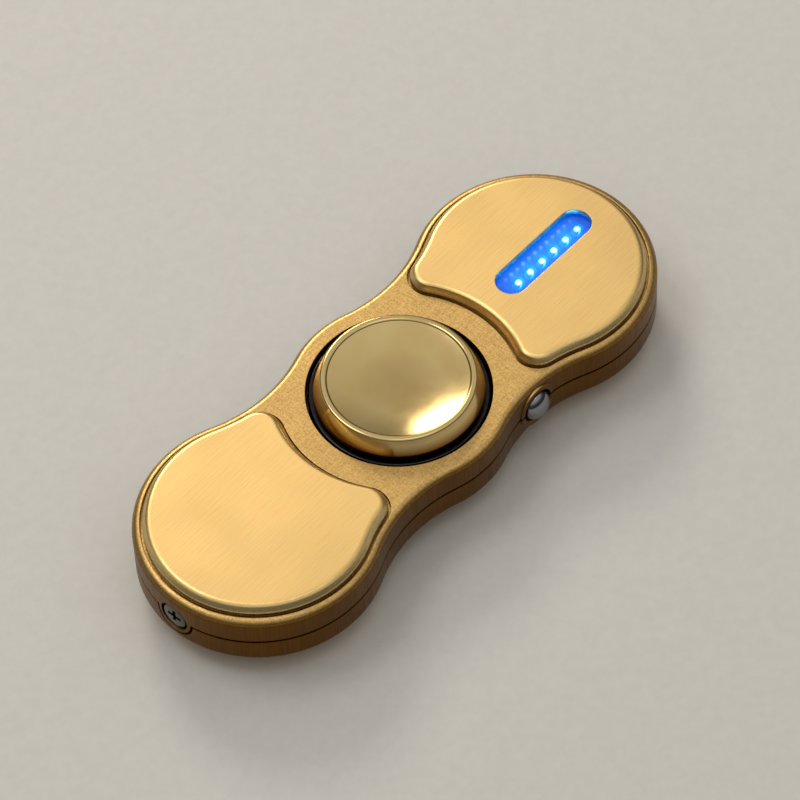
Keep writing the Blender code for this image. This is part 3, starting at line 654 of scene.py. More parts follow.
def rod(form: bmesh.types.BMesh, radius: float, low: float, high: float, along_x: bool, sides: int) -> None:
    """Round bar on the Z or the X axis.

    Args:
        form: mesh that takes the bar.
        radius: its radius.
        low: first end along the axis.
        high: last end along the axis.
        along_x: whether it lies on X.
        sides: number of flat sides.
    """
    made = bmesh.ops.create_cone(
        form, cap_ends=True, segments=sides, radius1=radius, radius2=radius, depth=high - low
    )["verts"]
    bmesh.ops.translate(form, vec=(0, 0, (low + high) / 2), verts=made)
    if along_x:
        bmesh.ops.rotate(form, matrix=Matrix.Rotation(math.pi / 2, 3, "Y"), verts=made)


def to_object(name: str, form: bmesh.types.BMesh) -> bpy.types.Object:
    """Makes an object of a form.

    Args:
        name: object name.
        form: mesh under work; it is used up.

    Returns:
        The object, in the scene.
    """
    mesh = bpy.data.meshes.new(name)
    form.to_mesh(mesh)
    form.free()
    made = bpy.data.objects.new(name, mesh)
    bpy.context.scene.collection.objects.link(made)
    return made


def combine(
    piece: bpy.types.Object, tool: bpy.types.Object | bmesh.types.BMesh, how: str = "DIFFERENCE"
) -> None:
    """Cuts, joins or intersects a piece with a tool, which is then gone.

    Args:
        piece: object to change.
        tool: the other solid, as an object or as a form.
        how: "DIFFERENCE", "UNION" or "INTERSECT".
    """
    if isinstance(tool, bmesh.types.BMesh):
        tool = to_object("tool", tool)
    step = piece.modifiers.new(how.lower(), "BOOLEAN")
    step.operation = how
    step.solver = "EXACT"
    step.object = tool
    bpy.context.view_layer.update()
    graph = bpy.context.evaluated_depsgraph_get()
    mesh = bpy.data.meshes.new_from_object(piece.evaluated_get(graph))
    piece.modifiers.clear()
    old = piece.data
    piece.data = mesh
    bpy.data.meshes.remove(old)
    bpy.data.objects.remove(tool)


def finish(
    piece: bpy.types.Object,
    finish_of: bpy.types.Material,
    body: str,
    nodes: tuple[str, ...] = (),
    crease: float = 28.0,
) -> bpy.types.Object:
    """Dresses a new piece and hands it to its body.

    Args:
        piece: the new object.
        finish_of: its material.
        body: body that it moves with.
        nodes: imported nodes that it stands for.
        crease: angle in degrees from which an edge stays sharp.

    Returns:
        The piece.
    """
    piece.data.materials.clear()
    piece.data.materials.append(finish_of)
    piece.data.shade_smooth()
    piece.data.set_sharp_from_angle(angle=math.radians(crease))
    even = piece.modifiers.new("even_shading", "WEIGHTED_NORMAL")
    even.keep_sharp = True
    even.weight = 100
    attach(piece, body)
    if nodes:
        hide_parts(*nodes)
    LOG.info("%s: %d faces", piece.name, len(piece.data.polygons))
    return piece


def dress_node(name: str, material: bpy.types.Material) -> None:
    """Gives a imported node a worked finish.

    Args:
        name: node name.
        material: its new material.
    """
    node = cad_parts[name]
    node.data.materials.clear()
    node.data.materials.append(material)
    LOG.info("%s: packed mesh kept", name)


# Plan of the body ---------------------------------------------------------------------------------------


@dataclass(frozen=True)
class Plan:
    """The body from above: two round lobes and a round hub, joined by hollow waists."""

    spacing: float
    lobe: float
    hub: float = 13.8 * MM
    waist_depth: float = 1.75 * MM
    bearing_hole: float = 11.3 * MM

    @staticmethod
    def from_frame() -> "Plan":
        """Reads the lobes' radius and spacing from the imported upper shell."""
        _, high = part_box("upper_shell")
        return Plan(spacing=high.x - high.y, lobe=high.y)

    def waist(self) -> tuple[Vector, float]:
        """Centre and radius of the waist arc in the first quadrant."""
        half = self.hub - self.waist_depth
        step = self.lobe - half
        ratio = step / self.waist_depth
        constant = self.spacing**2 - step * (self.lobe - self.hub)
        x = constant / (self.spacing + math.sqrt(self.spacing**2 - (1 - ratio) * constant))
        radius = x**2 / (2 * self.waist_depth) - (self.hub + half) / 2
        return Vector((x, half + radius)), radius

    def body_loop(self, form: bmesh.types.BMesh, inset: float, height: float) -> Loop:
        """The whole body's outline.

        Args:
            form: mesh that takes the loop.
            inset: how far it lies inside the body's side wall.
            height: its z.

        Returns:
            The loop's edges.
        """
        centre, _ = self.waist()
        lobe = Vector((self.spacing, 0))
        to_waist = centre - lobe
        lobe_angle = math.atan2(to_waist.y, to_waist.x)
        hub_angle = math.atan2(centre.y, centre.x)
        hollow = lobe_angle - hub_angle
        start = lobe + Vector((math.cos(lobe_angle), -math.sin(lobe_angle))) * (self.lobe - inset)
        round_hub = math.pi - 2 * hub_angle
        arcs = [
            (lobe, 2 * lobe_angle, 60),
            (centre, -hollow, 16),
            (Vector((0, 0)), round_hub, 14),
            (Vector((-centre.x, centre.y)), -hollow, 16),
            (-lobe, 2 * lobe_angle, 60),
            (-centre, -hollow, 16),
            (Vector((0, 0)), round_hub, 14),
            (Vector((centre.x, -centre.y)), -hollow, 16),
        ]
        return trace(form, start, height, arcs)

    def plate_loop(
        self, form: bmesh.types.BMesh, inset: float, inner: float, corner: float, height: float
    ) -> Loop:
        """Outline of a cover plate on the +X lobe.

        Args:
            form: mesh that takes the loop.
            inset: how far it lies inside the body's side wall.
            inner: radius of its hollow end, about the bearing axis.
            corner: radius of its two corners.
            height: its z.

        Returns:
            The loop's edges.
        """
        centre, radius = self.waist()
        lobe = Vector((self.spacing, 0))
        waist = radius + inset
        reach = centre.length
        along = ((inner + corner) ** 2 - (waist + corner) ** 2 + reach**2) / (2 * reach)
        across = math.sqrt((inner + corner) ** 2 - along**2)
        unit = centre / reach
        pivot = unit * along + Vector((unit.y, -unit.x)) * across
        to_waist = centre - lobe
        lobe_angle = math.atan2(to_waist.y, to_waist.x)
        hollow = lobe_angle - math.atan2(centre.y - pivot.y, centre.x - pivot.x)
        corner_turn = math.atan2(-pivot.y, -pivot.x) % math.tau - (lobe_angle - hollow)
        hub_angle = math.atan2(pivot.y, pivot.x)
        start = lobe + Vector((math.cos(lobe_angle), -math.sin(lobe_angle))) * (self.lobe - inset)
        mirrored = Vector((pivot.x, -pivot.y))
        arcs = [
            (lobe, 2 * lobe_angle, 60),
            (centre, -hollow, 8),
            (pivot, corner_turn, 12),
            (Vector((0, 0)), -2 * hub_angle, 30),
            (mirrored, corner_turn, 12),
            (Vector((centre.x, -centre.y)), -hollow, 8),
        ]
        return trace(form, start, height, arcs)


def slot_loop(form: bmesh.types.BMesh, middle: float, length: float, width: float, height: float) -> Loop:
    """Slot with round ends, lying along X.

    Args:
        form: mesh that takes the loop.
        middle: x of its centre.
        length: length over the round ends.
        width: width.
        height: its z.

    Returns:
        The loop's edges.
    """
    reach = (length - width) / 2
    first = form.verts.new((middle + reach, -width / 2, height))
    before = set(form.edges)
    right = Vector((middle + reach, 0, height))
    left = Vector((middle - reach, 0, height))
    turned = bmesh.ops.spin(form, geom=[first], cent=right, axis=(0, 0, 1), angle=math.pi, steps=20)
    top = next(item for item in turned["geom_last"] if isinstance(item, bmesh.types.BMVert))
    second = form.verts.new((middle - reach, width / 2, height))
    form.edges.new((top, second))
    turned = bmesh.ops.spin(form, geom=[second], cent=left, axis=(0, 0, 1), angle=math.pi, steps=20)
    bottom = next(item for item in turned["geom_last"] if isinstance(item, bmesh.types.BMVert))
    form.edges.new((bottom, first))
    return [edge for edge in form.edges if edge not in before]


# Sub-assemblies -----------------------------------------------------------------------------------------


class Side(Enum):
    """The two faces of the body."""

    UPPER = 1
    LOWER = -1


@dataclass
class Housing:
    """The two shells of the body: side walls, ledges, bearing hole, plate pockets and button collar."""

    plan: Plan
    seam_gap: float = 0.3 * MM
    edge_round: float = 0.95 * MM
    seam_round: float = 0.12 * MM
    rim_round: float = 0.1 * MM
    wall: float = 0.9 * MM
    roof: float = 1.2 * MM
    seat_outer: float = 11.9 * MM
    pocket_depth: float = 0.6 * MM
    pocket_inset: float = 1.0 * MM
    pocket_inner: float = 14.7 * MM
    pocket_corner: float = 3.1 * MM
    button_x: float = 11.2 * MM
    button_hole: float = 2.3 * MM
    collar_radius: float = 3.05 * MM
    collar_rise: float = 0.3 * MM
    tongue_radius: float = 2.5 * MM
    tongue_depth: float = 2.0 * MM
    counterbore: float = 2.05 * MM
    counterbore_depth: float = 1.25 * MM
    lip: float = 0.12 * MM
    overlap: float = 0.35 * MM
    window: Point = (15.9 * MM, 4.1 * MM)
    window_offset: float = 1.8 * MM
    shells: dict[Side, bpy.types.Object] = field(default_factory=dict)

    def half_thickness(self) -> float:
        """Half the body's thickness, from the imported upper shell."""
        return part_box("upper_shell")[1].z

    def blank(self, side: Side) -> bpy.types.Object:
        """Solid half of the body with a rounded outer edge and a broken seam edge.

        Args:
            side: which half.

        Returns:
            The solid.
        """
        form = bmesh.new()
        sign = side.value
        top = self.half_thickness()
        seam = self.seam_gap / 2
        rings = [(self.seam_round, seam), (self.seam_round * 0.3, seam + self.seam_round * 0.3)]
        rings.append((0.0, seam + self.seam_round))
        for inset, z in bend((0.0, 0.0), self.edge_round, 0, 90, 9):
            rings.append((self.edge_round - inset, top - self.edge_round + z))
        loft(form, [self.plan.body_loop(form, inset, sign * z) for inset, z in rings])
        return to_object(f"{side.name.lower()}_shell_body", form)

    def cavity(self, side: Side) -> bpy.types.Object:
        """The room inside a shell, with the bearing seat's ring left standing."""
        form = bmesh.new()
        sign = side.value
        heights = (-sign * 3 * self.roof, sign * (self.half_thickness() - self.roof))
        loft(form, [self.plan.body_loop(form, self.wall, z) for z in heights])
        room = to_object("room", form)
        form = bmesh.new()
        reach = self.half_thickness() * 2
        rod(form, self.seat_outer, -reach, reach, False, 96)
        combine(room, form)
        return room

    def bore(self) -> bmesh.types.BMesh:
        """Cutter for the bearing hole, flared at both mouths to round the rim."""
        form = bmesh.new()
        top = self.half_thickness()
        radius, flare = self.plan.bearing_hole, self.rim_round
        mouth = [(radius + flare - x, top - flare + z) for x, z in bend((0, 0), flare, 0, 90, 4)]
        profile = [(0.0, top + 2 * flare), (radius + 4 * flare, top + 2 * flare), *reversed(mouth)]
        lower = [(x, -z) for x, z in reversed(profile)]
        turn(form, [*profile, *lower], 120)
        return form

    def pocket(self, side: Side, mirrored: bool) -> bmesh.types.BMesh:
        """Cutter for a plate's pocket, flared at the mouth to round the rim.

        Args:
            side: face that it opens on.
            mirrored: whether it lies on the plain lobe.

        Returns:
            The cutter.
        """
        form = bmesh.new()
        sign = side.value
        top = self.half_thickness()
        flare = self.rim_round
        rings = [(0.0, top - self.pocket_depth)]
        rings += [(flare - x, top - flare + z) for x, z in bend((0, 0), flare, 0, 90, 4)]
        rings.append((flare * 4, top + 2 * flare))
        loops = [
            self.plan.plate_loop(
                form, self.pocket_inset - out, self.pocket_inner - out, self.pocket_corner + out, sign * z
            )
            for out, z in rings
        ]
        loft(form, loops)
        if mirrored:
            place(form, Vector(), HALF_TURN)
        return form

    def collar(self) -> bpy.types.Object:
        """Low ring round the button with a rounded lip."""
        form = bmesh.new()
        waist = self.plan.hub - self.plan.waist_depth
        lip = self.lip
        outer = waist + self.collar_rise
        profile = [(0.0, outer)]
        profile += bend((self.collar_radius - lip, outer - lip), lip, 90, 0, 4)
        profile += [(self.collar_radius, waist - self.wall / 2), (0.0, waist - self.wall / 2)]
        turn(form, profile, 64)
        place(form, Vector((self.button_x, 0, 0)), Y_AXIS_OUT)
        return to_object("button_ring", form)

    def button_bore(self) -> bmesh.types.BMesh:
        """Cutter for the button's hole, flared at its mouth."""
        form = bmesh.new()
        mouth = self.plan.hub - self.plan.waist_depth + self.collar_rise
        lip = self.lip
        profile = [(0.0, mouth + MM), (self.button_hole + lip + MM, mouth + MM)]
        profile += [(self.button_hole + lip - x, mouth - lip + z) for x, z in bend((0, 0), lip, 90, 0, 4)]
        profile += [(self.button_hole, mouth - 3 * MM), (0.0, mouth - 3 * MM)]
        turn(form, profile, 64)
        place(form, Vector((self.button_x, 0, 0)), Y_AXIS_OUT)
        return form

    def tongue(self) -> bpy.types.Object:
        """Half-round tongue of the upper shell that carries the end screw below the seam."""
        form = bmesh.new()
        end = self.plan.spacing + self.plan.lobe
        heights = (-self.tongue_radius - MM, self.overlap)
        loft(form, [self.plan.body_loop(form, 0.0, z) for z in heights])
        tongue = to_object("tongue", form)
        form = bmesh.new()
        rod(form, self.tongue_radius, -end - MM, -end + self.tongue_depth, True, 72)
        combine(tongue, form, "INTERSECT")
        return tongue

    def x_cutter(self, radius: float, depth: float) -> bmesh.types.BMesh:
        """Round cutter along X into the plain end.

        Args:
            radius: its radius.
            depth: how deep it goes from the end.

        Returns:
            The cutter.
        """
        form = bmesh.new()
        end = self.plan.spacing + self.plan.lobe
        rod(form, radius, -end - 2 * MM, -end + depth, True, 72)
        return form

    def build(self, side: Side) -> None:
        """Builds one shell.

        Args:
            side: which shell.
        """
        shell = self.blank(side)
        combine(shell, self.trimmed_collar(side), "UNION")
        for tool in (self.cavity(side), self.bore(), self.button_bore()):
            combine(shell, tool)
        for mirrored in (False, True):
            combine(shell, self.pocket(side, mirrored))
        if side is Side.UPPER:
            combine(shell, self.tongue(), "UNION")
            combine(shell, self.x_cutter(self.counterbore, self.counterbore_depth))
            form = bmesh.new()
            middle = self.plan.spacing + self.window_offset
            loops = [slot_loop(form, middle, *self.window, z) for z in (0.0, self.half_thickness() + MM)]
            loft(form, loops)
            combine(shell, form)
        else:
            gap = self.seam_gap
            combine(shell, self.x_cutter(self.tongue_radius + gap, self.tongue_depth + gap))
        self.shells[side] = shell

    def trimmed_collar(self, side: Side) -> bpy.types.Object:
        """The button's ring, cut back to its own side of the seam."""
        ring = self.collar()
        form = bmesh.new()
        reach = self.plan.spacing + 2 * self.plan.lobe
        seam = self.seam_gap / 2
        far = 4 * self.half_thickness()
        low, high = (-far, seam) if side is Side.UPPER else (-seam, far)
        block(form, Vector((-reach, -reach, low)), Vector((reach, reach, high)))
        combine(ring, form)
        return ring

    def dress(self, brass: bpy.types.Material) -> None:
        """Finishes both shells."""
        for side, shell in self.shells.items():
            finish(shell, brass, "spinner", (f"{side.name.lower()}_shell",))


@dataclass
class CoverPlates:
    """Four raised plates, one in each pocket, with softly broken edges."""

    plan: Plan
    inset: float = 1.3 * MM
    inner: float = 15.0 * MM
    corner: float = 2.8 * MM
    chamfer: float = 0.8 * MM
    soften: float = 0.22 * MM
    lip: float = 0.1 * MM
    seat_grow: float = 1.6 * MM
    seat_height: float = 0.7 * MM
    window: Point = (15.9 * MM, 4.1 * MM)
    window_offset: float = 1.8 * MM
    plates: dict[str, bpy.types.Object] = field(default_factory=dict)

    def rings(self, low: float, high: float) -> list[Point]:
        """Inset and height of each ring, from the foot up to the top.

        Args:
            low: height of the foot.
            high: height of the top.

        Returns:
            The rings.
        """
        chamfer, soft = self.chamfer, self.soften
        knee = high - chamfer
        rings = [(0.0, low), (0.0, knee - soft)]
        rings += [(soft * 0.12, knee - soft * 0.35), (soft * 0.45, knee + soft * 0.2)]
        rings += [(chamfer * 0.5, high - chamfer * 0.46)]
        rings += [(chamfer - soft * 1.6, high - soft * 0.95), (chamfer - soft * 0.7, high - soft * 0.3)]
        rings += [(chamfer + soft * 0.2, high - soft * 0.06), (chamfer + soft * 1.2, high)]
        return rings

    def build(self, name: str, side: Side, mirrored: bool) -> None:
        """Builds one plate.

        Args:
            name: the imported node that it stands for.
            side: face that it lies on.
            mirrored: whether it lies on the plain lobe.
        """
        low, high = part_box(name)
        foot, top = (low.z, high.z) if side is Side.UPPER else (-high.z, -low.z)
        form = bmesh.new()
        loops = [
            self.plan.plate_loop(
                form, self.inset + inset, self.inner + inset, self.corner - inset, side.value * z
            )
            for inset, z in self.rings(foot, top)
        ]
        loft(form, loops)
        if mirrored:
            place(form, Vector(), HALF_TURN)
        self.plates[name] = to_object(f"{name}_body", form)

    def open_window(self, name: str) -> None:
        """Cuts the window's slot and the seat of the lens flange.

        Args:
            name: the plate that carries the window.
        """
        plate = self.plates[name]
        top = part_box(name)[1].z
        lens_low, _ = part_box("window_lens")
        middle = self.plan.spacing + self.window_offset
        length, width = self.window
        lip = self.lip
        form = bmesh.new()
        rings = [(0.0, 0.0)]
        rings += [(lip - x, top - lip + z) for x, z in bend((0, 0), lip, 0, 90, 4)]
        rings.append((4 * lip, top + 2 * lip))
        loft(form, [slot_loop(form, middle, length + 2 * out, width + 2 * out, z) for out, z in rings])
        combine(plate, form)
        form = bmesh.new()
        grow = self.seat_grow
        seat_top = lens_low.z + self.seat_height
        loft(form, [slot_loop(form, middle, length + grow, width + grow, z) for z in (0.0, seat_top)])
        combine(plate, form)

    def build_all(self) -> None:
        """Builds the four plates."""
        self.build("led_cover_plate", Side.UPPER, False)
        self.build("plain_cover_plate", Side.UPPER, True)
        self.build("led_underside_plate", Side.LOWER, False)
        self.build("battery_underside_plate", Side.LOWER, True)
        self.open_window("led_cover_plate")

    def dress(self, satin: bpy.types.Material) -> None:
        """Finishes the plates."""
        for name, plate in self.plates.items():
            finish(plate, satin, "spinner", (name,))


@dataclass
class LightWindow:
    """Blue lens, its row of diodes and the circuit board with its small parts."""

    plan: Plan
    count: int = 6
    flange: float = 0.8 * MM
    flange_thickness: float = 0.4 * MM
    crown: float = 0.12 * MM
    diode_edge: float = 0.08 * MM
    diode_rim: float = 0.12 * MM
    diode_sink: float = 0.06 * MM
    window: Point = (15.3 * MM, 3.5 * MM)
    window_offset: float = 1.8 * MM
    diodes: list[bpy.types.Object] = field(default_factory=list)
    lens: bpy.types.Object | None = None

    def build(self) -> None:
        """Builds the lens and the diodes."""
        low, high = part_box("window_lens")
        middle = self.plan.spacing + self.window_offset
        length, width = self.window
        step = low.z + self.flange_thickness
        crown = self.crown
        form = bmesh.new()
        rings = [(self.flange, low.z), (self.flange, step), (0.0, step), (0.0, high.z - crown)]
        rings += [(-crown * 0.3, high.z - crown * 0.3), (-crown, high.z)]
        loft(form, [slot_loop(form, middle, length + 2 * out, width + 2 * out, z) for out, z in rings])
        self.lens = to_object("window_lens_body", form)
        for index in range(self.count):
            low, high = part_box(f"display_led_{index + 1}")
            form = bmesh.new()
            block(form, low, high, self.diode_edge)
            top = [max(form.faces, key=lambda face: (round(face.normal.z, 3), face.calc_area()))]
            bmesh.ops.inset_region(form, faces=top, thickness=self.diode_rim, depth=-self.diode_sink)
            self.diodes.append(to_object(f"display_led_{index + 1}_body", form))

    def dress(self) -> None:
        """Finishes the lens, the diodes and the board."""
        lows = [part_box(f"display_led_{i + 1}") for i in range(self.count)]
        middles = [(low.x + high.x) / 2 for low, high in lows]
        lens_low, lens_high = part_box("window_lens")
        glow = LitLens(
            first=middles[0], pitch=middles[1] - middles[0], ends=(lens_low.x, lens_high.x)
        ).make()
        finish(self.lens, glow, "spinner", ("window_lens",))
        diode = LitDiode(first=middles[0], pitch=middles[1] - middles[0]).make()
        for index, piece in enumerate(self.diodes):
            finish(piece, diode, "spinner", (f"display_led_{index + 1}",))
        dress_node("circuit_board", SolderMask().make())


@dataclass
class PushButton:
    """Domed chrome button in the waist, and the switch that it presses."""

    plan: Plan
    x: float = 11.2 * MM
    radius: float = 2.0 * MM
    collar_rise: float = 0.3 * MM
    sunk: float = 0.3 * MM
    ears: Vector = field(default_factory=lambda: Vector((5.8, 0.6, 3.8)) * MM)
    ear_edge: float = 0.12 * MM
    button: bpy.types.Object | None = None

    def build(self) -> None:
        """Builds the button with its dome and its two ears."""
        low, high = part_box("power_button")
        outer = -low.y
        inner = -high.y
        rim = self.plan.hub - self.plan.waist_depth + self.collar_rise
        spring = rim - self.sunk
        squash = (outer - spring) / self.radius
        dome = [(x, spring + z * squash) for x, z in bend((0.0, 0.0), self.radius, 90, 0, 18)]
        profile = [(0.0, outer), *dome[1:]]
        profile += [(self.radius, inner + self.ears.y / 2), (0.0, inner + self.ears.y / 2)]
        form = bmesh.new()
        turn(form, profile, 64)
        place(form, Vector((self.x, 0, 0)), Y_AXIS_OUT)
        self.button = to_object("power_button_body", form)
        form = bmesh.new()
        half_ears = self.ears / 2
        block(
            form,
            Vector((self.x - half_ears.x, -inner - self.ears.y, -half_ears.z)),
            Vector((self.x + half_ears.x, -inner, half_ears.z)),
            self.ear_edge,
        )
        combine(self.button, form, "UNION")

    def dress(self, chrome: bpy.types.Material, black: bpy.types.Material) -> None:
        """Finishes the button and its switch."""
        finish(self.button, chrome, "button", ("power_button",))
        dress_node("switch_plunger", black)
        dress_node("tactile_switch", black)


@dataclass
class EndScrew:
    """Nickel cross-head screw that closes the plain end."""

    head_radius: float = 1.75 * MM
    head_thickness: float = 0.8 * MM
    shank: float = 0.8 * MM
    slot_length: float = 2.5 * MM
    slot_width: float = 0.62 * MM
    slot_depth: float = 0.5 * MM
    lip: float = 0.2 * MM
    thread_pitch: float = 0.4 * MM
    screw: bpy.types.Object | None = None

    def build(self) -> None:
        """Builds the head, the threaded shank and the cross recess."""
        low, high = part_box("end_screw")
        face, tip = -low.x, -high.x
        under = face - self.head_thickness
        lip = self.lip
        profile = [(0.0, face)]
        profile += bend((self.head_radius - lip, face - lip), lip, 90, 0, 5)
        profile += [(self.head_radius, under), (self.shank, under)]
        pitch = self.thread_pitch
        turns = int((under - tip - pitch) / pitch)
        for index in range(turns):
            z = under - pitch * (index + 0.5)
            profile += [(self.shank, z), (self.shank * 0.8, z - pitch / 2)]
        profile += [(self.shank * 0.7, tip), (0.0, tip)]
        form = bmesh.new()
        turn(form, profile, 64)
        place(form, Vector((0, 0, 0)), Matrix.Rotation(-math.pi / 2, 3, "Y"))
        self.screw = to_object("end_screw_body", form)
        half_length, half_width = self.slot_length / 2, self.slot_width / 2
        for y, z in ((half_length, half_width), (half_width, half_length)):
            form = bmesh.new()
            block(form, Vector((-face - MM, -y, -z)), Vector((-face + self.slot_depth, y, z)))
            floor = [v for v in form.verts if v.co.x > -face]
            middle = Vector((-face + self.slot_depth, 0, 0))
            bmesh.ops.scale(form, vec=(1, 0.72, 0.72), verts=floor, space=Matrix.Translation(-middle))
            combine(self.screw, form)

    def dress(self, nickel: bpy.types.Material) -> None:
        """Finishes the screw."""
        finish(self.screw, nickel, "spinner", ("end_screw",))


@dataclass
class Bearing:
    """Ball bearing: two grooved races, seven balls in a cage and a shield on each face."""

    bore: float = 4.0 * MM
    outer: float = 11.0 * MM
    ball: float = 1.984 * MM
    shoulder: float = 1.45 * MM
    seat_step: float = 0.6 * MM
    seat_depth: float = 0.7 * MM
    gap: float = 0.3 * MM
    edge: float = 0.25 * MM
    count: int = 7
    pieces: dict[str, tuple[bpy.types.Object, str]] = field(default_factory=dict)

    def build(self) -> None:
        """Builds the races, the balls and the shields."""
        pitch = (self.bore + self.outer) / 2
        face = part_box("bearing_outer_race")[1].z
        groove = self.ball + self.gap
        open_angle = math.degrees(math.acos(self.shoulder / groove))
        edge = self.edge
        inner_edge = pitch - self.shoulder
        profile = [*bend((self.bore + edge, face - edge), edge, 180, 90, 4), (inner_edge, face)]
        profile += bend((pitch, 0.0), groove, 180 - open_angle, 180 + open_angle, 16)
        profile += [(inner_edge, -face), *bend((self.bore + edge, -face + edge), edge, 270, 180, 4)]
        self.add("bearing_inner_race", profile, "hub")

        outer_edge = pitch + self.shoulder
        seat = outer_edge + self.seat_step
        seat_z = face - self.seat_depth
        profile = [*bend((self.outer - edge, face - edge), edge, 90, 0, 4)]
        profile += [*bend((self.outer - edge, -face + edge), edge, 0, -90, 4)]
        profile += [(seat, -face), (seat, -seat_z), (outer_edge, -seat_z)]
        profile += bend((pitch, 0.0), groove, -open_angle, open_angle, 16)
        profile += [(outer_edge, seat_z), (seat, seat_z), (seat, face)]
        self.add("bearing_outer_race", profile, "spinner")

        for name in ("upper_bearing_shield", "lower_bearing_shield"):
            low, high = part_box(name)
            bead = (high.z - low.z) * 0.45
            inside, outside = inner_edge + self.gap, high.x
            profile = [(inside, low.z), (inside, high.z), (outside - 2 * bead, high.z)]
            profile += bend((outside - bead, high.z - bead), bead, 90, 0, 4)
            profile += [(outside, low.z)]
            self.add(name, profile, "spinner")

        for index in range(self.count):
            name = f"bearing_ball_{index + 1}"
            angle = math.tau * index / self.count
            form = bmesh.new()
            bmesh.ops.create_uvsphere(form, u_segments=40, v_segments=24, radius=self.ball)
            place(form, Vector((pitch * math.cos(angle), pitch * math.sin(angle), 0)))
            self.pieces[name] = (to_object(f"{name}_body", form), "cage")

    def add(self, name: str, profile: list[Point], body: str) -> None:
        """Turns one ring of the bearing.

        Args:
            name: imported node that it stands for.
            profile: closed section.
            body: body that it moves with.
        """
        form = bmesh.new()
        turn(form, profile, 120, closed=True)
        self.pieces[name] = (to_object(f"{name}_body", form), body)

    def dress(self, steel: bpy.types.Material, cage: bpy.types.Material) -> None:
        """Finishes the bearing's pieces."""
        for name, (piece, body) in self.pieces.items():
            finish(piece, steel, body, (name,))
        dress_node("bearing_cage", cage)


@dataclass
class FingerCaps:
    """Two dished, polished caps whose sleeve and stud meet in the bearing's bore."""

    crest: float = 8.95 * MM
    crest_width: float = 0.5 * MM
    flange: float = 10.4 * MM
    height: float = 2.5 * MM
    standoff: float = 0.5 * MM
    shoulder: float = 0.35 * MM
    dish: float = 1.1 * MM
    spacer: float = 5.4 * MM
    bearing_face: float = 3.5 * MM
    sleeve: float = 3.7 * MM
    stud: float = 2.2 * MM
    gap: float = 0.3 * MM
    bead: float = 0.4 * MM
    lip: float = 0.1 * MM
    stud_edge: float = 0.2 * MM
    caps: dict[str, bpy.types.Object] = field(default_factory=dict)

    def shell_profile(self) -> list[Point]:
        """The upper cap's section from the middle of its dish to the foot of its spacer."""
        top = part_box("upper_finger_cap")[1].z
        bottom = top - self.height
        crest = bend((self.crest, top - self.bead), self.bead, 152, 90, 8)
        inner, rim = crest[0]
        outer = self.crest + self.crest_width / 2
        depth = self.dish - (top - rim)
        radius = (inner**2 + depth**2) / (2 * depth)
        half = math.degrees(math.asin(inner / radius))
        points = bend((0.0, top - self.dish + radius), radius, -90, -90 + half, 36)
        points[0] = (0.0, top - self.dish)
        points += crest[1:]
        reach = Vector((self.flange - outer, bottom + self.standoff - (top - self.shoulder)))
        tangent = math.atan2(reach.y, reach.x) + math.acos(self.shoulder / reach.length)
        points += bend((outer, top - self.shoulder), self.shoulder, 90, math.degrees(tangent), 10)[1:]
        lip = self.lip
        points += [(self.flange - lip * 0.3, bottom + self.standoff + lip * 0.6)]
        points += [(self.flange, bottom + self.standoff - lip)]
        points += bend((self.flange - lip, bottom + lip), lip, 0, -90, 5)
        points += [(self.spacer, bottom), (self.spacer, self.bearing_face + self.gap)]
        return points

    def build(self) -> None:
        """Builds both caps."""
        upper = self.shell_profile()
        bore = self.stud + self.gap
        inside = [(self.sleeve, self.bearing_face + self.gap), (self.sleeve, self.gap), (bore, self.gap)]
        inside += [(bore, self.bearing_face), (0.0, self.bearing_face)]
        form = bmesh.new()
        turn(form, [*upper, *inside], 128)
        self.caps["upper_finger_cap"] = to_object("upper_finger_cap_body", form)
        stud_top = self.bearing_face - self.gap
        edge = self.stud_edge
        lower = [(0.0, stud_top), (self.stud - edge, stud_top), (self.stud, stud_top - edge)]
        lower += [(self.stud, 0.0), (self.sleeve, 0.0), (self.sleeve, -self.bearing_face - self.gap)]
        lower += [(x, -z) for x, z in reversed(self.shell_profile())]
        form = bmesh.new()
        turn(form, lower, 128)
        self.caps["lower_finger_cap"] = to_object("lower_finger_cap_body", form)

    def dress(self, polish: bpy.types.Material) -> None:
        """Finishes both caps."""
        for name, cap in self.caps.items():
            finish(cap, polish, "hub", (name,), crease=40.0)


@dataclass
class PowerPack:
    """Coin cell in its holder, the two contact springs and the two leads round the bearing."""

    holder_wall: float = 1.0 * MM
    crimp: float = 0.2 * MM
    cell: bpy.types.Object | None = None

    def build(self) -> None:
        """Builds the coin cell with its crimped edge and stepped lid."""
        low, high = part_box("battery_cell")
        radius = (high.x - low.x) / 2
        middle = (high.x + low.x) / 2
        half = high.z
        lid = radius - self.holder_wall
        step = self.holder_wall / 2
        crimp = self.crimp
        profile = [(0.0, half), *bend((lid - crimp, half - crimp), crimp, 90, 0, 4)]
        profile += [(lid, half - step)]
        profile += bend((radius - crimp, half - step - crimp), crimp, 90, 0, 5)
        profile += bend((radius - crimp, -half + crimp), crimp, 0, -90, 5)
        profile += [(0.0, -half)]
        form = bmesh.new()
        turn(form, profile, 96)
        place(form, Vector((middle, 0, 0)))
        self.cell = to_object("battery_cell_body", form)

    def dress(self, nickel: bpy.types.Material, black: bpy.types.Material) -> None:
        """Finishes the cell, holder, contacts, leads and the parts under the board."""
        finish(self.cell, nickel, "spinner", ("battery_cell",))
        tinned = PolishedMetal("tinned_bronze", "#C9B48C", "#A98F62", 0.28, 0.1).make()
        red = MouldedPlastic("red_vinyl", "#A5161A", "#7C0E12", 0.35).make()
        dress_node("motion_switch", nickel)
        for name in ("battery_holder", "controller_chip", "negative_lead"):
            dress_node(name, black)
        for name in ("positive_contact", "negative_contact"):
            dress_node(name, tinned)
        dress_node("positive_lead", red)


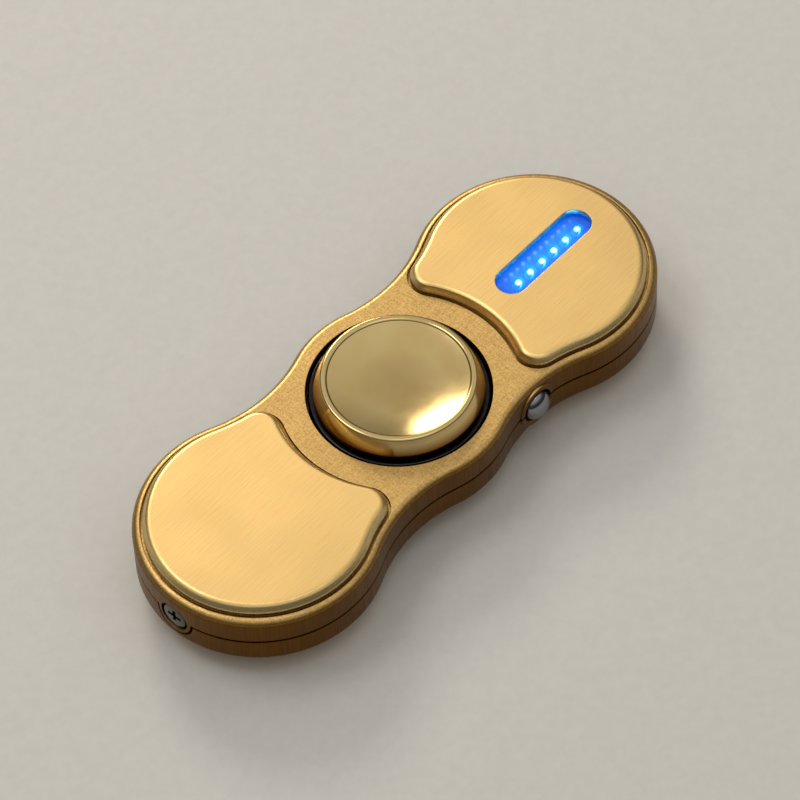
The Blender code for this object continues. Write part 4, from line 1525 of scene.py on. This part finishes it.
# Studio -------------------------------------------------------------------------------------------------


def toward(azimuth: float, elevation: float) -> Vector:
    """Unit vector at an angle round Z from +X and an angle above the floor, both in degrees."""
    turn_by, rise = math.radians(azimuth), math.radians(elevation)
    return Vector((math.cos(rise) * math.cos(turn_by), math.cos(rise) * math.sin(turn_by), math.sin(rise)))


@dataclass
class Studio:
    """Pale floor, soft lamps and the camera."""

    azimuth: float = -136.0
    elevation: float = 53.37
    roll: float = -2.79
    target: Vector = field(default_factory=lambda: Vector((-1.05, -1.08, 3.8)) * MM)
    distance: float = 0.571
    lens: float = 214.2
    low_grey: str = "#45433F"
    top_grey: str = "#CBCAC7"
    greys: dict[float, str] = field(default_factory=lambda: {0.45: "#504E4A", 0.74: "#B9B7B3"})

    def floor(self) -> None:
        """Floor under the lower cap."""
        form = bmesh.new()
        bmesh.ops.create_grid(form, x_segments=1, y_segments=1, size=1.5)
        bmesh.ops.translate(form, vec=(0, 0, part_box("lower_finger_cap")[0].z), verts=form.verts)
        made = to_object("floor", form)
        made.data.materials.append(PaleFloor().make())

    def lamp(
        self,
        name: str,
        azimuth: float,
        elevation: float,
        distance: float,
        size: Point,
        power: float,
        colour: str = "#FFFFFF",
    ) -> None:
        """Oval soft lamp aimed at the bearing.

        Args:
            name: lamp name.
            azimuth: its direction round Z from +X, in degrees.
            elevation: its direction above the floor, in degrees.
            distance: how far away it is.
            size: width and height.
            power: in watts.
            colour: its light.
        """
        light = bpy.data.lights.new(name, "AREA")
        light.shape = "ELLIPSE"
        light.size, light.size_y = size
        light.energy = power
        light.color = linear(colour)[:3]
        made = bpy.data.objects.new(name, light)
        made.location = toward(azimuth, elevation) * distance
        made.rotation_euler = made.location.to_track_quat("Z", "Y").to_euler()
        bpy.context.scene.collection.objects.link(made)

    def sky(self) -> None:
        """Even grey surround, lighter overhead."""
        world = bpy.data.worlds.new("studio")
        world.use_nodes = True
        tree = world.node_tree
        tree.nodes.clear()
        parts = add_node(tree, "SeparateXYZ", [add_node(tree, "TexCoord").outputs["Generated"]])
        height = add_node(tree, "MapRange", [parts.outputs["Z"], -0.1, 1.0, 0.0, 1.0])
        shade = add_node(tree, "ValToRGB", [height])
        stops = shade.color_ramp.elements
        stops[0].color, stops[1].color = linear(self.low_grey), linear(self.top_grey)
        for position, grey in self.greys.items():
            stops.new(position).color = linear(grey)
        backdrop = add_node(tree, "Background", {"Color": shade, "Strength": 1.2})
        add_node(tree, "OutputWorld", [backdrop])
        bpy.context.scene.world = world

    def camera(self) -> None:
        """Camera at the object's three-quarter view."""
        roll = math.radians(self.roll)
        back = toward(self.azimuth, self.elevation)
        level = Vector((0, 0, 1)).cross(back).normalized()
        up = back.cross(level)
        right = level * math.cos(roll) + up * math.sin(roll)
        above = up * math.cos(roll) - level * math.sin(roll)
        data = bpy.data.cameras.new("camera")
        data.lens = self.lens
        data.sensor_width = 36.0
        data.clip_start = 0.01
        made = bpy.data.objects.new("camera", data)
        made.matrix_world = Matrix.Translation(self.target + back * self.distance) @ Matrix(
            (right, above, back)
        ).transposed().to_4x4()
        bpy.context.scene.collection.objects.link(made)
        bpy.context.scene.camera = made
        bpy.context.scene.view_settings.view_transform = "Standard"

    def build(self) -> None:
        """Builds the floor, the lamps and the camera."""
        self.floor()
        self.sky()
        self.lamp("back_key", 60, 33, 0.8, (0.3, 0.22), 1.9, "#FFF6E6")
        self.lamp("left_strip", 112, 62, 0.9, (0.5, 0.35), 1.15)
        self.lamp("overhead", -60, 84, 0.9, (0.4, 0.4), 0.25)
        self.camera()


# Everything in order ------------------------------------------------------------------------------------


def main() -> None:
    """Builds every sub-assembly in order and sets up the studio."""
    logging.basicConfig(level=logging.INFO, format="%(name)s %(message)s")
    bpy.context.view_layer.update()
    plan = Plan.from_frame()

    # The shells keep the default side colours: painted shade on their walls and seam lips.
    brushed = BrushedBrass(
        "hand_brushed_brass", "#EAC27C", "#A58148", cross=0.6, grain=0.5, roughness=0.38, relief=0.6
    ).make()
    satin = BrushedBrass(
        "satin_brass",
        "#FBD791",
        "#E8BD75",
        pitch=0.12 * MM,
        grain=0.14,
        # Lighter side colours: a painted reflection on the plates' flanks.
        painted_side_light="#F2DCA4",
        painted_side_dark="#D2B678",
        turnover=(0.93, 0.60),
    ).make()
    polish = PolishedMetal(
        "polished_brass",
        "#DCC287",
        "#D6BA7D",
        roughness=0.12,
        # Painted shade on the caps' lower flank.
        painted_deep_tone="#7A4A12",
        painted_shade_heights=(4.5 * MM, 5.7 * MM),
    ).make()
    chrome = PolishedMetal("chrome_plate", "#8E9197", "#7C7F86", 0.04, 0.03).make()
    nickel = PolishedMetal("nickel_plate", "#B5AEA2", "#8C867C", 0.16, 0.1).make()
    dark_nickel = PolishedMetal("dark_nickel", "#6F6B64", "#4C4944", 0.12, 0.1, relief=0.15).make()
    cage_brass = PolishedMetal("stamped_brass", "#C7A765", "#A88748", 0.3, 0.12).make()
    black = MouldedPlastic("black_nylon", "#1E1E20", "#111112").make()

    housing = Housing(plan)
    for side in Side:
        housing.build(side)
    housing.dress(brushed)

    plates = CoverPlates(plan)
    plates.build_all()
    plates.dress(satin)

    window = LightWindow(plan)
    window.build()
    window.dress()

    button = PushButton(plan)
    button.build()
    button.dress(chrome, black)

    screw = EndScrew()
    screw.build()
    screw.dress(dark_nickel)

    bearing = Bearing()
    bearing.build()
    bearing.dress(GroundSteel().make(), cage_brass)

    caps = FingerCaps()
    caps.build()
    caps.dress(polish)

    power = PowerPack()
    power.build()
    power.dress(nickel, black)

    Studio().build()


if __name__ == "__main__":
    main()
